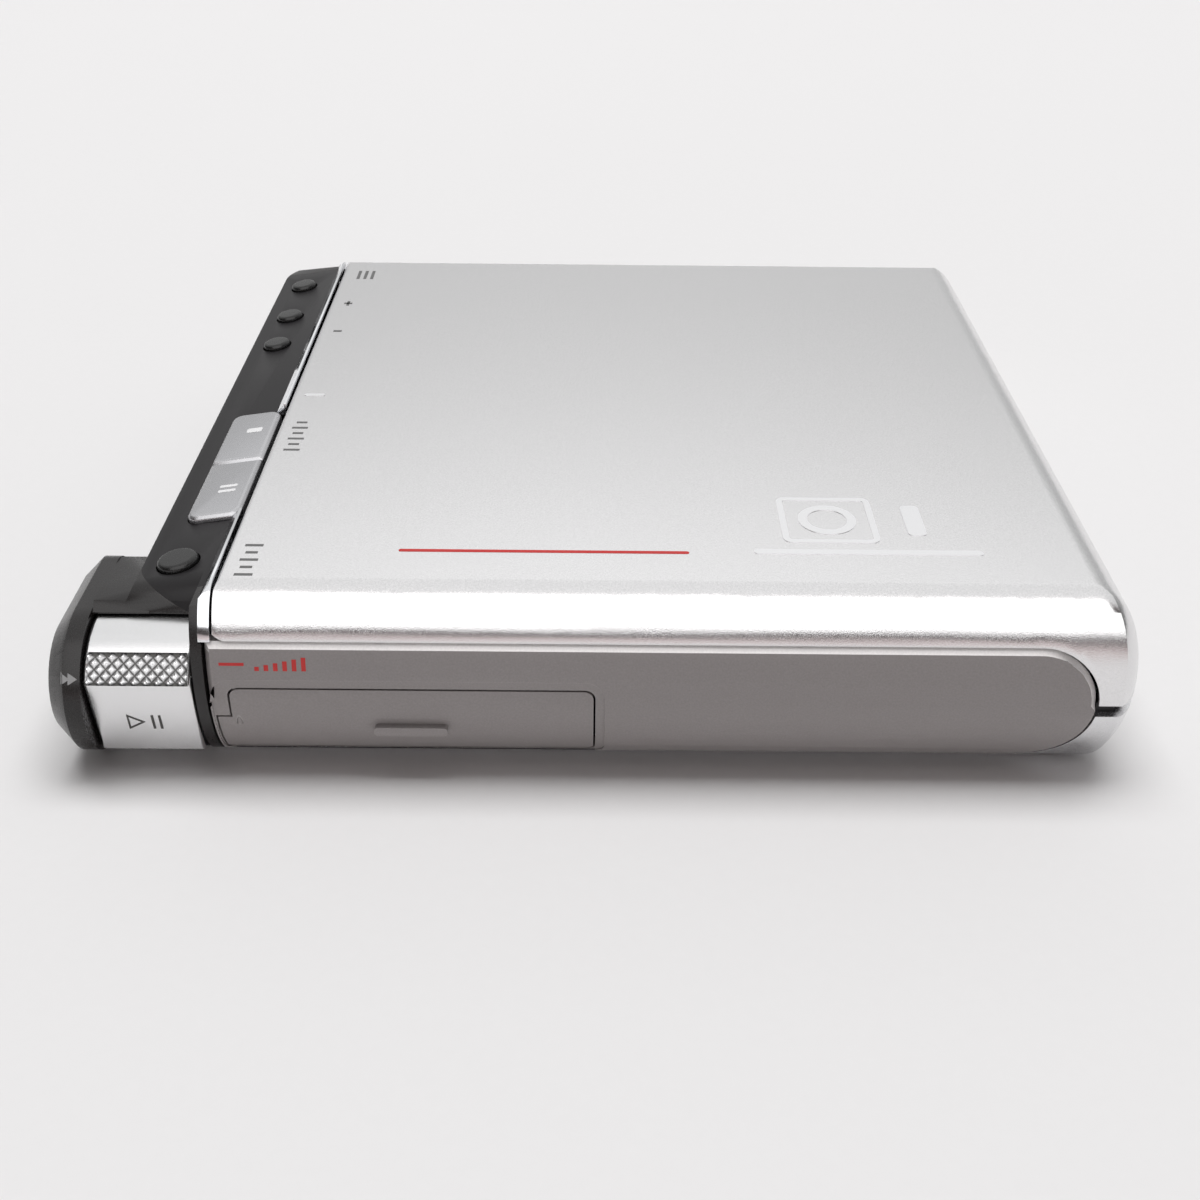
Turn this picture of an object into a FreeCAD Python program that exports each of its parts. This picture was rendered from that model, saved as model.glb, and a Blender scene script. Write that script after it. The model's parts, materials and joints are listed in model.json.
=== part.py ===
import FreeCAD, Part
import math
import os

import Sketcher

# Portable minidisc recorder. Millimetres, +Z up, the origin in the middle of the base.
# X runs along the near edge, from the control side (minus) to the mouth of the disc bay (plus).
# Y runs away from the viewer. The near side carries the battery door, the far side the sockets.

SIZES = [
    # The case
    ("body_length", 84.2, "case along X, without the jog housing"),
    ("body_depth", 81.0, "case along Y"),
    ("body_height", 16.6, "case along Z"),
    ("belly_height", 7.8, "height of the widest line of the sides"),
    ("belly_depth", 4.7, "how far the sides swell past the flat top"),
    ("corner_radius", 5.5, "rounding of the upright corners at the belly line"),
    ("corner_set", 4.3, "corner centre behind the near and far faces"),
    ("case_wall", 0.8, "wall of lid and bottom cover"),
    ("panel_wall", 1.2, "wall of the side panels"),
    ("housing_wall", 1.0, "wall of the control housing"),
    ("seam", 0.2, "gap between neighbouring covers"),
    ("parting", 1.1, "open gap under the lid at the mouth"),
    ("rim_wall", 1.0, "wall of the rim inside the parting gap"),
    ("rim_depth", 1.2, "how far the rim reaches under the bottom cover's edge"),
    # The side panels
    ("panel_top", 12.65, "upper edge of the side panels"),
    ("panel_reach", 4.15, "side panel's round end, in from the case end"),
    ("panel_lap", 0.7, "side panel past the lid's hinged edge"),
    ("upper_end_radius", 4.95, "round end above the belly line"),
    ("lower_end_radius", 6.75, "round end below the belly line"),
    ("foot_radius", 2.8, "rubber feet under the base"),
    ("foot_thick", 0.4, "feet, let in flush with the base"),
    ("foot_in_x", 12.0, "foot centre, in from the case ends"),
    ("foot_in_y", 9.0, "foot centre, in from the near and far faces"),
    # The control side
    ("control_width", 9.1, "case end to the lid's hinged edge"),
    ("hinge_gap", 0.35, "gap beside the lid's hinged edge"),
    ("trim_width", 0.8, "bright trim beside the lid"),
    ("trim_depth", 1.3, "bright trim, top to underside"),
    ("cheek_wall", 0.9, "wall between jog ring and side panel"),
    ("left_seam", 3.0, "height of the seam under the control housing"),
    ("deck_top", 15.35, "height of the control deck at the trim"),
    ("deck_fall", 8.6, "slope of the control deck, degrees"),
    ("plate_thick", 0.6, "control plate let into the deck"),
    ("plate_inset", 1.5, "control plate's outer edge, in from the case end"),
    ("plate_corner", 5.2, "rounding of the control plate's near corner"),
    ("lip_radius", 2.6, "rounding of the deck behind the jog ring"),
    ("lip_cross", 0.005, "that rounding stands this far over the deck, so that the two cross"),
    # The jog
    ("ring_radius", 6.0, "jog ring"),
    ("ring_back", 4.9, "jog axis behind the near face"),
    ("ring_height", 6.4, "jog axis above the base"),
    ("ring_width", 8.6, "jog ring along X"),
    ("ring_flat", 4.75, "axis to the ring's flat"),
    ("ring_tilt", 9.0, "the flat looks down by this angle, degrees"),
    ("ring_bore", 4.3, "hollow inside the ring"),
    ("ring_web", 1.2, "web that carries the ring on its hub"),
    ("ring_edge", 0.35, "rounding of the ring's ends"),
    ("ring_gap", 0.15, "gap at each end of the ring"),
    ("jog_press", 0.5, "how far the ring can be pushed in"),
    ("jog_clear", 0.2, "gap between ring and housing"),
    ("axle_radius", 1.4, "jog axle"),
    ("axle_clear", 0.05, "clearance round axles and pins"),
    ("axle_hold", 0.6, "how deep the axle sits in its slots"),
    ("lobe_width", 3.1, "jog end housing along X"),
    ("lobe_back", 15.4, "jog end housing's back behind the near face"),
    ("lobe_rise", 0.5, "jog end housing's top over its lower half turn"),
    ("lobe_chamfer", 1.7, "slanted rim of the jog end housing"),
    # Buttons
    ("button_rise", 0.55, "button caps above the control plate"),
    ("button_travel", 0.35, "button travel"),
    ("button_clear", 0.12, "gap round a button"),
    ("button_flange", 0.45, "lip that keeps a button in, wide and thick"),
    ("lift", 0.03, "play of the buttons under their plate"),
    ("mark_radius", 1.75, "round mark button"),
    ("mark_y", 9.5, "mark button behind the near face"),
    ("dot_radius", 1.45, "three round buttons at the far end"),
    ("volume_down_y", 55.3, "volume down button behind the near face"),
    ("volume_up_y", 63.4, "volume up button behind the near face"),
    ("menu_y", 72.9, "menu button behind the near face"),
    ("bar_width", 4.9, "silver buttons along X"),
    ("bar_length", 10.2, "one silver button along Y"),
    ("bar_gap", 0.25, "gap between the two silver buttons"),
    ("bar_corner", 1.1, "outer corners of the silver buttons"),
    ("board_thick", 0.6, "switch board"),
    ("dome_radius", 1.2, "dome switch"),
    ("dome_height", 0.3, "dome switch"),
    # Lid, hinge and disc holder
    ("hinge_in", 1.5, "hinge axis, in from the lid's edge"),
    ("hinge_down", 1.7, "hinge axis, down from the top"),
    ("lid_edge_radius", 0.6, "rounding of the lid's hinged edge"),
    ("pin_radius", 0.4, "hinge pins"),
    ("eye_radius", 0.8, "hinge eyes round the pins"),
    ("ear_thick", 0.9, "chassis ear"),
    ("ear_gap", 0.15, "gap between neighbouring ears"),
    ("liner_thick", 0.5, "liner under the lid"),
    ("side_room", 4.3, "room for the 72 mm wide cartridge, in from the near and far faces"),
    ("mouth_room", 3.1, "end of the 68 mm deep disc holder, in from the case end"),
    ("cartridge_thick", 5.0, "disc cartridge thickness"),
    ("slot_clear", 0.2, "room over the cartridge"),
    ("sheet_metal", 0.4, "sheet of the disc holder"),
    ("holder_floor", 8.3, "underside of the disc holder"),
    ("holder_back", 3.2, "holder's back behind the lid's hinged edge"),
    # Mechanism
    ("chassis_under", 7.0, "underside of the chassis plate"),
    ("chassis_thick", 0.7, "chassis plate"),
    ("motor_radius", 8.0, "spindle motor"),
    ("motor_height", 4.4, "spindle motor"),
    ("hub_radius", 2.6, "centring hub"),
    ("turntable_radius", 5.8, "turntable"),
    ("sled_start", 14.5, "lens from the spindle at the inner stop"),
    ("lens_room", 6.7, "lens at the outer stop, in from the side of the disc holder"),
    ("sled_length", 9.6, "sled along its rods"),
    ("rod_radius", 0.75, "guide rods"),
    ("rod_height", 5.2, "guide rods above the base"),
    ("screw_radius", 0.8, "lead screw"),
    ("screw_lead", 3.0, "lead screw advance in one turn"),
    ("screw_height", 4.0, "lead screw above the base"),
    ("screw_set", 14.5, "lead screw, to the control side of the spindle"),
    ("arm_width", 3.0, "magnetic head arm"),
    ("arm_thick", 0.35, "magnetic head arm"),
    # Battery
    ("battery_width", 26.4, "battery pack along X"),
    ("battery_length", 37.4, "battery pack along Y"),
    ("battery_thick", 5.6, "battery pack"),
    ("battery_in", 4.3, "near end of the pack, in from the near face"),
    ("door_left", 10.0, "battery door's edge, in from the case end"),
    ("door_width", 29.4, "battery door"),
    ("door_top", 8.66, "battery door's upper edge"),
    ("door_bottom", 1.45, "battery door's lower edge"),
    ("door_gap", 0.16, "gap round the battery door"),
    ("door_wall", 1.0, "battery door"),
    ("door_step", 1.2, "hinge tail of the door past its edge"),
    ("door_step_top", 5.8, "top of the hinge tail"),
    ("door_corner", 0.8, "corners of the battery door"),
    ("door_pin_radius", 0.3, "battery door pin"),
    ("frame_width", 0.75, "shallow frame round the door"),
    ("frame_sink", 0.12, "depth of that frame"),
    ("grip_set", 11.5, "door grip, in from the door's hinged edge"),
    ("grip_width", 6.0, "door grip"),
    # Sockets, board and screws
    ("jack_radius", 1.8, "bore of the audio jacks"),
    ("jack_depth", 10.5, "depth of the jack bores"),
    ("jack_height", 5.4, "jack axis above the base"),
    ("jack_in", 8.1, "last jack, in from the case end"),
    ("jack_pitch", 7.0, "jack to jack"),
    ("jack_body", 5.2, "jack body, square"),
    ("nose_radius", 2.4, "collar of a jack in the rear panel"),
    ("port_set", 13.2, "data socket, in from the control end of the rear panel"),
    ("port_width", 8.0, "data socket mouth"),
    ("port_height", 2.6, "data socket mouth"),
    ("board_level", 2.0, "underside of the main board"),
    ("main_board_thick", 0.8, "main board"),
    ("screw_head", 1.3, "case screw head radius"),
    ("screw_shank", 0.7, "case screw radius"),
    ("boss_radius", 1.9, "screw boss in the bottom cover"),
    ("slider_length", 6.0, "switch sliders"),
    ("slider_travel", 2.5, "switch slider travel"),
    ("latch_reach", 6.0, "latch hook's nose from the slider"),
]


class Size:
    """A length that knows its number and the sheet expression that gives it."""

    def __init__(self, value, text):
        self.value = value
        self.text = text

    def _join(self, other, sign, value):
        text = other.text if isinstance(other, Size) else repr(float(other))
        return Size(value, "(" + self.text + sign + text + ")")

    def __add__(self, other):
        return self._join(other, " + ", self.value + number(other))

    def __radd__(self, other):
        return self + other

    def __sub__(self, other):
        return self._join(other, " - ", self.value - number(other))

    def __rsub__(self, other):
        return -self + other

    def __neg__(self):
        return Size(-self.value, "(0 - " + self.text + ")")

    def __mul__(self, other):
        return self._join(other, " * ", self.value * number(other))

    def __rmul__(self, other):
        return self * other

    def __truediv__(self, other):
        return self._join(other, " / ", self.value / number(other))


def number(size):
    return size.value if isinstance(size, Size) else float(size)


def root(size):
    return Size(math.sqrt(size.value), "sqrt(" + size.text + ")")


def sine(degrees):
    return Size(math.sin(math.radians(degrees.value)), "sin(" + degrees.text + " * 1 deg)")


def cosine(degrees):
    return Size(math.cos(math.radians(degrees.value)), "cos(" + degrees.text + " * 1 deg)")


class SizeSheet:
    """Writes the driving sizes into a spreadsheet and hands them out by name."""

    def __init__(self, document, rows):
        sheet = document.addObject("Spreadsheet::Sheet", "Sizes")
        for row, (alias, value, note) in enumerate(rows, start=1):
            sheet.set("A%d" % row, alias)
            sheet.set("B%d" % row, str(value))
            sheet.set("C%d" % row, note)
            sheet.setAlias("B%d" % row, alias)
            setattr(self, alias, Size(value, "Sizes." + alias))
        document.recompute()


doc = FreeCAD.newDocument("recorder")
s = SizeSheet(doc, SIZES)
NODES = []


def bind(thing, path, size):
    if isinstance(size, Size):
        thing.setExpression(path, size.text)


def node(thing, name):
    """Marks a finished sub-part; its Label names its file."""
    thing.Label = name
    NODES.append(thing)
    return thing


# Sketch outlines

def pin_vertex(sketch, geometry, end, x, y):
    for kind, size in (("DistanceX", x), ("DistanceY", y)):
        index = sketch.addConstraint(Sketcher.Constraint(kind, -1, 1, geometry, end, number(size)))
        bind(sketch, "Constraints[%d]" % index, size)


def pin_half_turn(sketch, geometry, a, b):
    """A half turn has its centre midway between its ends, which sets its radius."""
    axis = 0 if abs(number(b[1]) - number(a[1])) > abs(number(b[0]) - number(a[0])) else 1
    kind = ("DistanceX", "DistanceY")[axis]
    size = (a[axis] + b[axis]) * 0.5
    index = sketch.addConstraint(Sketcher.Constraint(kind, -1, 1, geometry, 3, number(size)))
    bind(sketch, "Constraints[%d]" % index, size)


def arc_between(a, b, radius):
    """The short arc from a to b; a positive radius turns left."""
    chord = b - a
    side = FreeCAD.Vector(-chord.y, chord.x, 0).normalize()
    reach = math.sqrt(max(radius * radius - chord.Length ** 2 / 4, 0.0))
    centre = (a + b) * 0.5 + side * math.copysign(reach, radius)
    first, last = (a, b) if radius > 0 else (b, a)
    start = math.atan2(first.y - centre.y, first.x - centre.x)
    end = math.atan2(last.y - centre.y, last.x - centre.x)
    if end < start:
        end += 2 * math.pi
    circle = Part.Circle(centre, FreeCAD.Vector(0, 0, 1), abs(radius))
    return Part.ArcOfCircle(circle, start, end)


def quarter_ellipse(a, b, centre):
    """Quarter of an upright ellipse from a to b, turning left."""
    width = max(abs(a.x - centre.x), abs(b.x - centre.x))
    height = max(abs(a.y - centre.y), abs(b.y - centre.y))
    ellipse = Part.Ellipse(centre, max(width, height), min(width, height))
    turn = math.pi / 2 if height > width else 0.0
    ellipse.AngleXU = turn
    start = math.atan2(a.y - centre.y, a.x - centre.x) - turn
    end = math.atan2(b.y - centre.y, b.x - centre.x) - turn
    if end < start:
        end += 2 * math.pi
    return Part.ArcOfEllipse(ellipse, start, end)


def trace(start, *steps):
    """Closed outline through sheet-driven points.

    A step is (x, y) for a line, (x, y, radius) for an arc, or (x, y, (cx, cy)) for a
    quarter ellipse about that centre.
    """

    def draw(sketch):
        corners = [start] + [step[:2] for step in steps]
        spots = [FreeCAD.Vector(number(x), number(y), 0) for x, y in corners]
        ends = []
        for index, step in enumerate(steps):
            a, b = spots[index], spots[index + 1]
            first, last = 1, 2
            if len(step) == 2:
                shape = Part.LineSegment(a, b)
            elif isinstance(step[2], tuple):
                middle = FreeCAD.Vector(number(step[2][0]), number(step[2][1]), 0)
                shape = quarter_ellipse(a, b, middle)
            else:
                shape = arc_between(a, b, number(step[2]))
                if number(step[2]) < 0:
                    first, last = 2, 1
            geometry = sketch.addGeometry(shape)
            if len(step) == 3 and isinstance(step[2], tuple):
                pin_vertex(sketch, geometry, 3, *step[2])
            elif len(step) == 3 and (b - a).Length > 1.999999 * abs(number(step[2])):
                pin_half_turn(sketch, geometry, corners[index], corners[index + 1])
            elif len(step) == 3:
                radius = step[2] if number(step[2]) > 0 else -step[2]
                rule = Sketcher.Constraint("Radius", geometry, number(radius))
                bind(sketch, "Constraints[%d]" % sketch.addConstraint(rule), radius)
            ends.append((geometry, first, last))
        for index, (geometry, first, last) in enumerate(ends):
            following, entry = ends[(index + 1) % len(ends)][:2]
            sketch.addConstraint(Sketcher.Constraint("Coincident", geometry, last, following, entry))
            pin_vertex(sketch, geometry, first, *corners[index])

    return draw


def closed(start, *steps):
    """An outline whose last line runs back to its start."""
    return trace(start, *(steps + (start,)))


def rectangle(x, y):
    return closed((x[0], y[0]), (x[1], y[0]), (x[1], y[1]), (x[0], y[1]))


def rounded(x, y, radius):
    """Rectangle with four round corners."""
    low_x, high_x = x[0] + radius, x[1] - radius
    low_y, high_y = y[0] + radius, y[1] - radius
    return trace(
        (low_x, y[0]),
        (high_x, y[0]), (x[1], low_y, radius),
        (x[1], high_y), (high_x, y[1], radius),
        (low_x, y[1]), (x[0], high_y, radius),
        (x[0], low_y), (low_x, y[0], radius),
    )


def disc(x, y, radius):
    def draw(sketch):
        centre = FreeCAD.Vector(number(x), number(y), 0)
        circle = Part.Circle(centre, FreeCAD.Vector(0, 0, 1), number(radius))
        geometry = sketch.addGeometry(circle)
        pin_vertex(sketch, geometry, 3, x, y)
        rule = Sketcher.Constraint("Radius", geometry, number(radius))
        bind(sketch, "Constraints[%d]" % sketch.addConstraint(rule), radius)

    return draw


# Loose forms, joined and cut by booleans

PLANE_TURN = {
    "XY": FreeCAD.Rotation(),
    "XZ": FreeCAD.Rotation(FreeCAD.Vector(1, 0, 0), 90),
    "YZ": FreeCAD.Rotation(FreeCAD.Vector(1, 1, 1), 120),
}
PLANE_AXIS = {"XY": "z", "XZ": "y", "YZ": "x"}
AXES = {
    "x": FreeCAD.Vector(1, 0, 0),
    "y": FreeCAD.Vector(0, 1, 0),
    "z": FreeCAD.Vector(0, 0, 1),
}


def place(thing, x, y, z, turn=None):
    base = FreeCAD.Vector(number(x), number(y), number(z))
    thing.Placement = FreeCAD.Placement(base, turn or FreeCAD.Rotation())
    for axis, size in (("x", x), ("y", y), ("z", z)):
        bind(thing, "Placement.Base." + axis, size)


def prism(name, plane, low, high, *outlines):
    """Extruded sketch between two places along the plane's own axis."""
    axis = PLANE_AXIS[plane]
    sketch = doc.addObject("Sketcher::SketchObject", name + "_outline")
    for outline in outlines:
        outline(sketch)
    spot = {"x": 0.0, "y": 0.0, "z": 0.0}
    spot[axis] = low
    place(sketch, spot["x"], spot["y"], spot["z"], PLANE_TURN[plane])
    form = doc.addObject("Part::Extrusion", name)
    form.Base = sketch
    form.DirMode = "Custom"
    form.Dir = AXES[axis]
    form.Solid = True
    form.LengthFwd = number(high) - number(low)
    bind(form, "LengthFwd", high - low)
    return form


def box(name, x, y, z):
    form = doc.addObject("Part::Box", name)
    for prop, (low, high) in zip(("Length", "Width", "Height"), (x, y, z)):
        setattr(form, prop, number(high) - number(low))
        bind(form, prop, high - low)
    place(form, x[0], y[0], z[0])
    return form


def cylinder(name, axis, across, radius, low, high):
    """Round bar along an axis; across holds its place on the other two axes."""
    form = doc.addObject("Part::Cylinder", name)
    form.Radius = number(radius)
    form.Height = number(high) - number(low)
    bind(form, "Radius", radius)
    bind(form, "Height", high - low)
    if axis == "z":
        place(form, across[0], across[1], low)
    elif axis == "y":
        place(form, across[0], low, across[1], FreeCAD.Rotation(AXES["x"], -90))
    else:
        place(form, low, across[0], across[1], FreeCAD.Rotation(AXES["y"], 90))
    return form


def common(name, *forms):
    form = doc.addObject("Part::MultiCommon", name)
    form.Shapes = list(forms)
    return form


def fuse(name, *forms):
    form = doc.addObject("Part::MultiFuse", name)
    form.Shapes = list(forms)
    return form


def cut(name, form, *tools):
    """One form less one or more others."""
    for index, tool in enumerate(tools):
        step = doc.addObject("Part::Cut", name if index == len(tools) - 1 else name + "_less")
        step.Base = form
        step.Tool = tool
        form = step
    return form


def group(name, *forms):
    form = doc.addObject("Part::Compound", name)
    form.Links = list(forms)
    return form


# Bodies of sketches and features

def new_body(name):
    return doc.addObject("PartDesign::Body", name)


def origin_plane(body, plane):
    role = plane + "_Plane"
    return [item for item in body.Origin.OriginFeatures if item.Role == role][0]


def sketch_on(body, plane, level, outlines):
    """Sketch on one of the body's own planes, at a level along the plane's axis."""
    sketch = body.newObject("Sketcher::SketchObject", body.Name + "_sketch")
    sketch.AttachmentSupport = [(origin_plane(body, plane), "")]
    sketch.MapMode = "FlatFace"
    shift = -level if plane == "XZ" else level
    offset = FreeCAD.Vector(0, 0, number(shift))
    sketch.AttachmentOffset = FreeCAD.Placement(offset, FreeCAD.Rotation())
    bind(sketch, "AttachmentOffset.Base.z", shift)
    for outline in outlines:
        outline(sketch)
    return sketch


def add_feature(body, kind, sketch):
    feature = body.newObject("PartDesign::" + kind, body.Name + "_" + kind.lower())
    feature.Profile = sketch
    sketch.Visibility = False
    return feature


def pad(body, plane, low, high, *outlines):
    """Material between two levels; the XZ plane looks towards minus Y."""
    start = high if plane == "XZ" else low
    feature = add_feature(body, "Pad", sketch_on(body, plane, start, outlines))
    feature.Length = number(high) - number(low)
    bind(feature, "Length", high - low)
    return feature


def pocket(body, plane, low, high, *outlines):
    """Material taken away between two levels."""
    start = low if plane == "XZ" else high
    feature = add_feature(body, "Pocket", sketch_on(body, plane, start, outlines))
    feature.Length = number(high) - number(low)
    bind(feature, "Length", high - low)
    return feature


def turned(body, plane, axis, *outlines):
    """Full revolution of outlines about the body's own axis."""
    feature = add_feature(body, "Revolution", sketch_on(body, plane, 0.0, outlines))
    role = axis + "_Axis"
    line = [item for item in body.Origin.OriginFeatures if item.Role == role][0]
    feature.ReferenceAxis = (line, [""])
    feature.Angle = 360.0
    return feature


def edges_where(shape, test):
    return ["Edge%d" % (i + 1) for i, edge in enumerate(shape.Edges) if test(edge)]


def soften(body, kind, size, test):
    """Fillet or chamfer on the edges of the body's tip that pass the test."""
    doc.recompute()
    base = body.Tip
    feature = body.newObject("PartDesign::" + kind, body.Name + "_" + kind.lower())
    feature.Base = (base, edges_where(base.Shape, test))
    prop = "Radius" if kind == "Fillet" else "Size"
    setattr(feature, prop, number(size))
    bind(feature, prop, size)
    return feature


def level_at(height):
    def test(edge):
        box_ = edge.BoundBox
        return abs(box_.ZMin - height) < 1e-4 and abs(box_.ZMax - height) < 1e-4

    return test


# Places that several pieces share

half_length = s.body_length / 2
half_depth = s.body_depth / 2
far_out = half_depth + 5
lid_left = s.control_width - half_length
panel_left = lid_left - s.panel_lap
panel_right = half_length - s.panel_reach
panel_middle = s.panel_top - s.upper_end_radius
trim_right = lid_left - s.hinge_gap
trim_left = trim_right - s.trim_width
cheek_right = panel_left - s.seam
cheek_left = cheek_right - s.cheek_wall
ring_y = s.ring_back - half_depth
ring_right = cheek_left - s.ring_gap
ring_left = ring_right - s.ring_width
lobe_right = ring_left - s.ring_gap
lobe_left = lobe_right - s.lobe_width
hinge_x = lid_left + s.hinge_in
hinge_z = s.body_height - s.hinge_down
lid_under = s.body_height - s.case_wall
gap_top = s.belly_height
gap_bottom = s.belly_height - s.parting
holder_left = lid_left + s.holder_back
holder_inner = holder_left + s.sheet_metal
holder_right = half_length - s.mouth_room
holder_half = half_depth - s.side_room
bay_floor = s.holder_floor + s.sheet_metal
bay_roof = bay_floor + s.cartridge_thick + s.slot_clear
holder_top = bay_roof + s.sheet_metal
chassis_top = s.chassis_under + s.chassis_thick
ear_half = holder_half
spindle_x = (holder_inner + holder_right) / 2
screw_x = spindle_x - s.screw_set
sled_y = s.sled_start
sled_travel = holder_half - s.lens_room - sled_y
door_left = s.door_left - half_length
door_right = door_left + s.door_width
pack_near = s.battery_in - half_depth
pack_far = pack_near + s.battery_length


# The outer form: a barrel along X, crossed with one along Y that turns round the corners

def barrel(reach, inset):
    """Section across the case: flat top and base, swelling sides."""
    flat = reach - s.belly_depth
    swell = reach - inset
    low, high = inset, s.body_height - inset
    middle = s.belly_height
    return trace(
        (-flat, low),
        (flat, low), (swell, middle, (flat, middle)),
        (flat, high, (flat, middle)), (-flat, high),
        (-swell, middle, (-flat, middle)), (-flat, low, (-flat, middle)),
    )


def barrel_corner(name, inset, x, y, turn):
    """Quarter turn of the swelling side about an upright corner axis."""
    flat = s.corner_radius - s.belly_depth
    swell = s.corner_radius - inset
    low, high = inset, s.body_height - inset
    middle = s.belly_height
    body = new_body(name)
    feature = turned(body, "XZ", "Z", trace(
        (0.0, low),
        (flat, low), (swell, middle, (flat, middle)),
        (flat, high, (flat, middle)), (0.0, high), (0.0, low)))
    feature.Angle = 90.0
    place(body, x, y, 0.0, FreeCAD.Rotation(AXES["z"], turn))
    return body


def case_form(name, inset):
    """The case's outline set in by a depth; near and far faces meet the corners in a crease."""
    corner_x = half_length - s.corner_radius
    corner_y = half_depth - s.corner_set
    corners = [
        barrel_corner(name + "_corner%d" % index, inset, x, y, 90.0 * index)
        for index, (x, y) in enumerate((
            (corner_x, corner_y), (-corner_x, corner_y),
            (-corner_x, -corner_y), (corner_x, -corner_y)))
    ]
    across = prism(name + "_across", "XZ", -corner_y, corner_y, barrel(half_length, inset))
    core = box(name + "_core", (-corner_x, corner_x), (-far_out, far_out),
               (inset, s.body_height - inset))
    along = prism(name + "_along", "YZ", -half_length - 1, half_length + 1, barrel(half_depth, inset))
    return common(name, along, fuse(name + "_round", across, core, *corners))


def side_outline(grow):
    """Side panel seen from the near side: square at the controls, round at the mouth."""
    upper_x = panel_right - s.upper_end_radius
    lower_x = panel_right - s.lower_end_radius
    bottom = panel_middle - s.lower_end_radius - grow
    top = s.panel_top + grow
    return trace(
        (panel_left - grow, bottom),
        (lower_x, bottom), (panel_right + grow, panel_middle, s.lower_end_radius + grow),
        (upper_x, top, s.upper_end_radius + grow),
        (panel_left - grow, top), (panel_left - grow, bottom),
    )


outer_form = case_form("outer_form", 0.0)
thin_inner = case_form("thin_inner", s.case_wall)
panel_inner = case_form("panel_inner", s.panel_wall)
side_gap = prism("side_gap", "XZ", -far_out, far_out, side_outline(s.seam))
thin_shell = cut("thin_shell", outer_form, thin_inner)

# Space that the jog ring needs, at rest and pushed in
jog_room = s.ring_radius + s.jog_clear
ring_space = fuse(
    "ring_space",
    cylinder("ring_space_rest", "x", (ring_y, s.ring_height), jog_room, lobe_right, cheek_left),
    cylinder("ring_space_in", "x", (ring_y + s.jog_press, s.ring_height), jog_room,
             lobe_right, cheek_left),
)

# Case screws: two under the mouth side, two under the control side
screw_spots = [
    (half_length - 6, -half_depth + 8),
    (half_length - 6, half_depth - 16),
    (-half_length + 4.6, -half_depth + 24),
    (-half_length + 4.6, half_depth - 7),
]
boss_tops = [s.chassis_under, s.chassis_under, s.left_seam, s.left_seam]

foot_x = half_length - s.foot_in_x
foot_y = half_depth - s.foot_in_y
foot_spots = [(-foot_x, -foot_y), (foot_x, -foot_y), (-foot_x, foot_y), (foot_x, foot_y)]


def bottom_cover():
    """Silver tray: floor, mouth-side wall, screw bosses and battery ribs."""
    lower = box("lower_half", (-half_length - 6, half_length + 6), (-far_out, far_out),
                (-1.0, gap_bottom))
    left = box("left_part", (-half_length - 6, panel_left - s.seam), (-far_out, far_out),
               (s.left_seam, gap_bottom + 1))
    cheek = box("cheek_room", (cheek_left - s.seam, cheek_right),
                (-far_out, ring_y + s.ring_radius + 2 + s.seam), (s.case_wall, gap_bottom))
    below_ring = box("below_ring", (lobe_right, cheek_left), (-far_out, ring_y + s.ring_radius * 0.6),
                     (-1.0, s.ring_height - s.ring_radius + 1))
    shell = cut("tray_shell", common("tray_half", thin_shell, lower), side_gap, left, cheek,
                below_ring, ring_space)
    parts = [shell]
    for index, ((x, y), top) in enumerate(zip(screw_spots, boss_tops)):
        parts.append(cylinder("boss%d" % index, "z", (x, y), s.boss_radius,
                              s.case_wall / 2, top))
    rib = s.case_wall
    rib_top = s.battery_thick * 0.8
    for name, x in (("rib_left", battery_left() - s.seam - rib), ("rib_right", battery_right() + s.seam)):
        parts.append(box(name, (x, x + rib), (pack_near + 2, pack_far), (s.case_wall / 2, rib_top)))
    tray = fuse("tray_body", *parts)
    holes = []
    for index, ((x, y), top) in enumerate(zip(screw_spots, boss_tops)):
        holes.append(cylinder("screw_hole%d" % index, "z", (x, y),
                              s.screw_shank + s.axle_clear, -1.0, top + 1))
        holes.append(cylinder("screw_sink%d" % index, "z", (x, y),
                              s.screw_head + s.axle_clear, -1.0, s.case_wall))
    for index, spot in enumerate(foot_spots):
        holes.append(cylinder("foot_seat%d" % index, "z", spot, s.foot_radius + s.axle_clear,
                              -1.0, s.foot_thick))
    node(cut("bottom_cover", tray, fuse("tray_holes", *holes)), "bottom_cover")


def case_feet():
    """Rubber feet let into the base, so that the case stands on its four corners."""
    feet = [cylinder("foot%d" % index, "z", spot, s.foot_radius, 0.0, s.foot_thick)
            for index, spot in enumerate(foot_spots)]
    node(group("foot_set", *feet), "case_feet")


def battery_left():
    return lid_left + 0.3 + s.case_wall + s.seam


def battery_right():
    return battery_left() + s.battery_width


def side_panel_form(name, low, high):
    wall = cut(name + "_wall", outer_form, panel_inner)
    return common(name + "_form", wall, prism(name + "_shape", "XZ", low, high, side_outline(0.0)))


def door_outline(grow):
    """Battery door: a rounded rectangle with a hinge tail at its lower left."""
    left = door_left - grow
    right = door_right + grow
    top = s.door_top + grow
    bottom = s.door_bottom - grow
    tail = left - s.door_step
    ledge = s.door_step_top + grow
    r = s.door_corner + grow * 0.5
    return trace(
        (tail, bottom),
        (right - r, bottom), (right, bottom + r, r),
        (right, top - r), (right - r, top, r),
        (left + r, top), (left, top - r, r),
        (left, ledge), (tail, ledge), (tail, bottom),
    )


door_hinge_x = door_left + 0.5
door_hinge_y = -half_depth + 0.62
door_pin_low = s.door_step_top - 0.8
door_pin_top = s.door_top + 1.2


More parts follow.
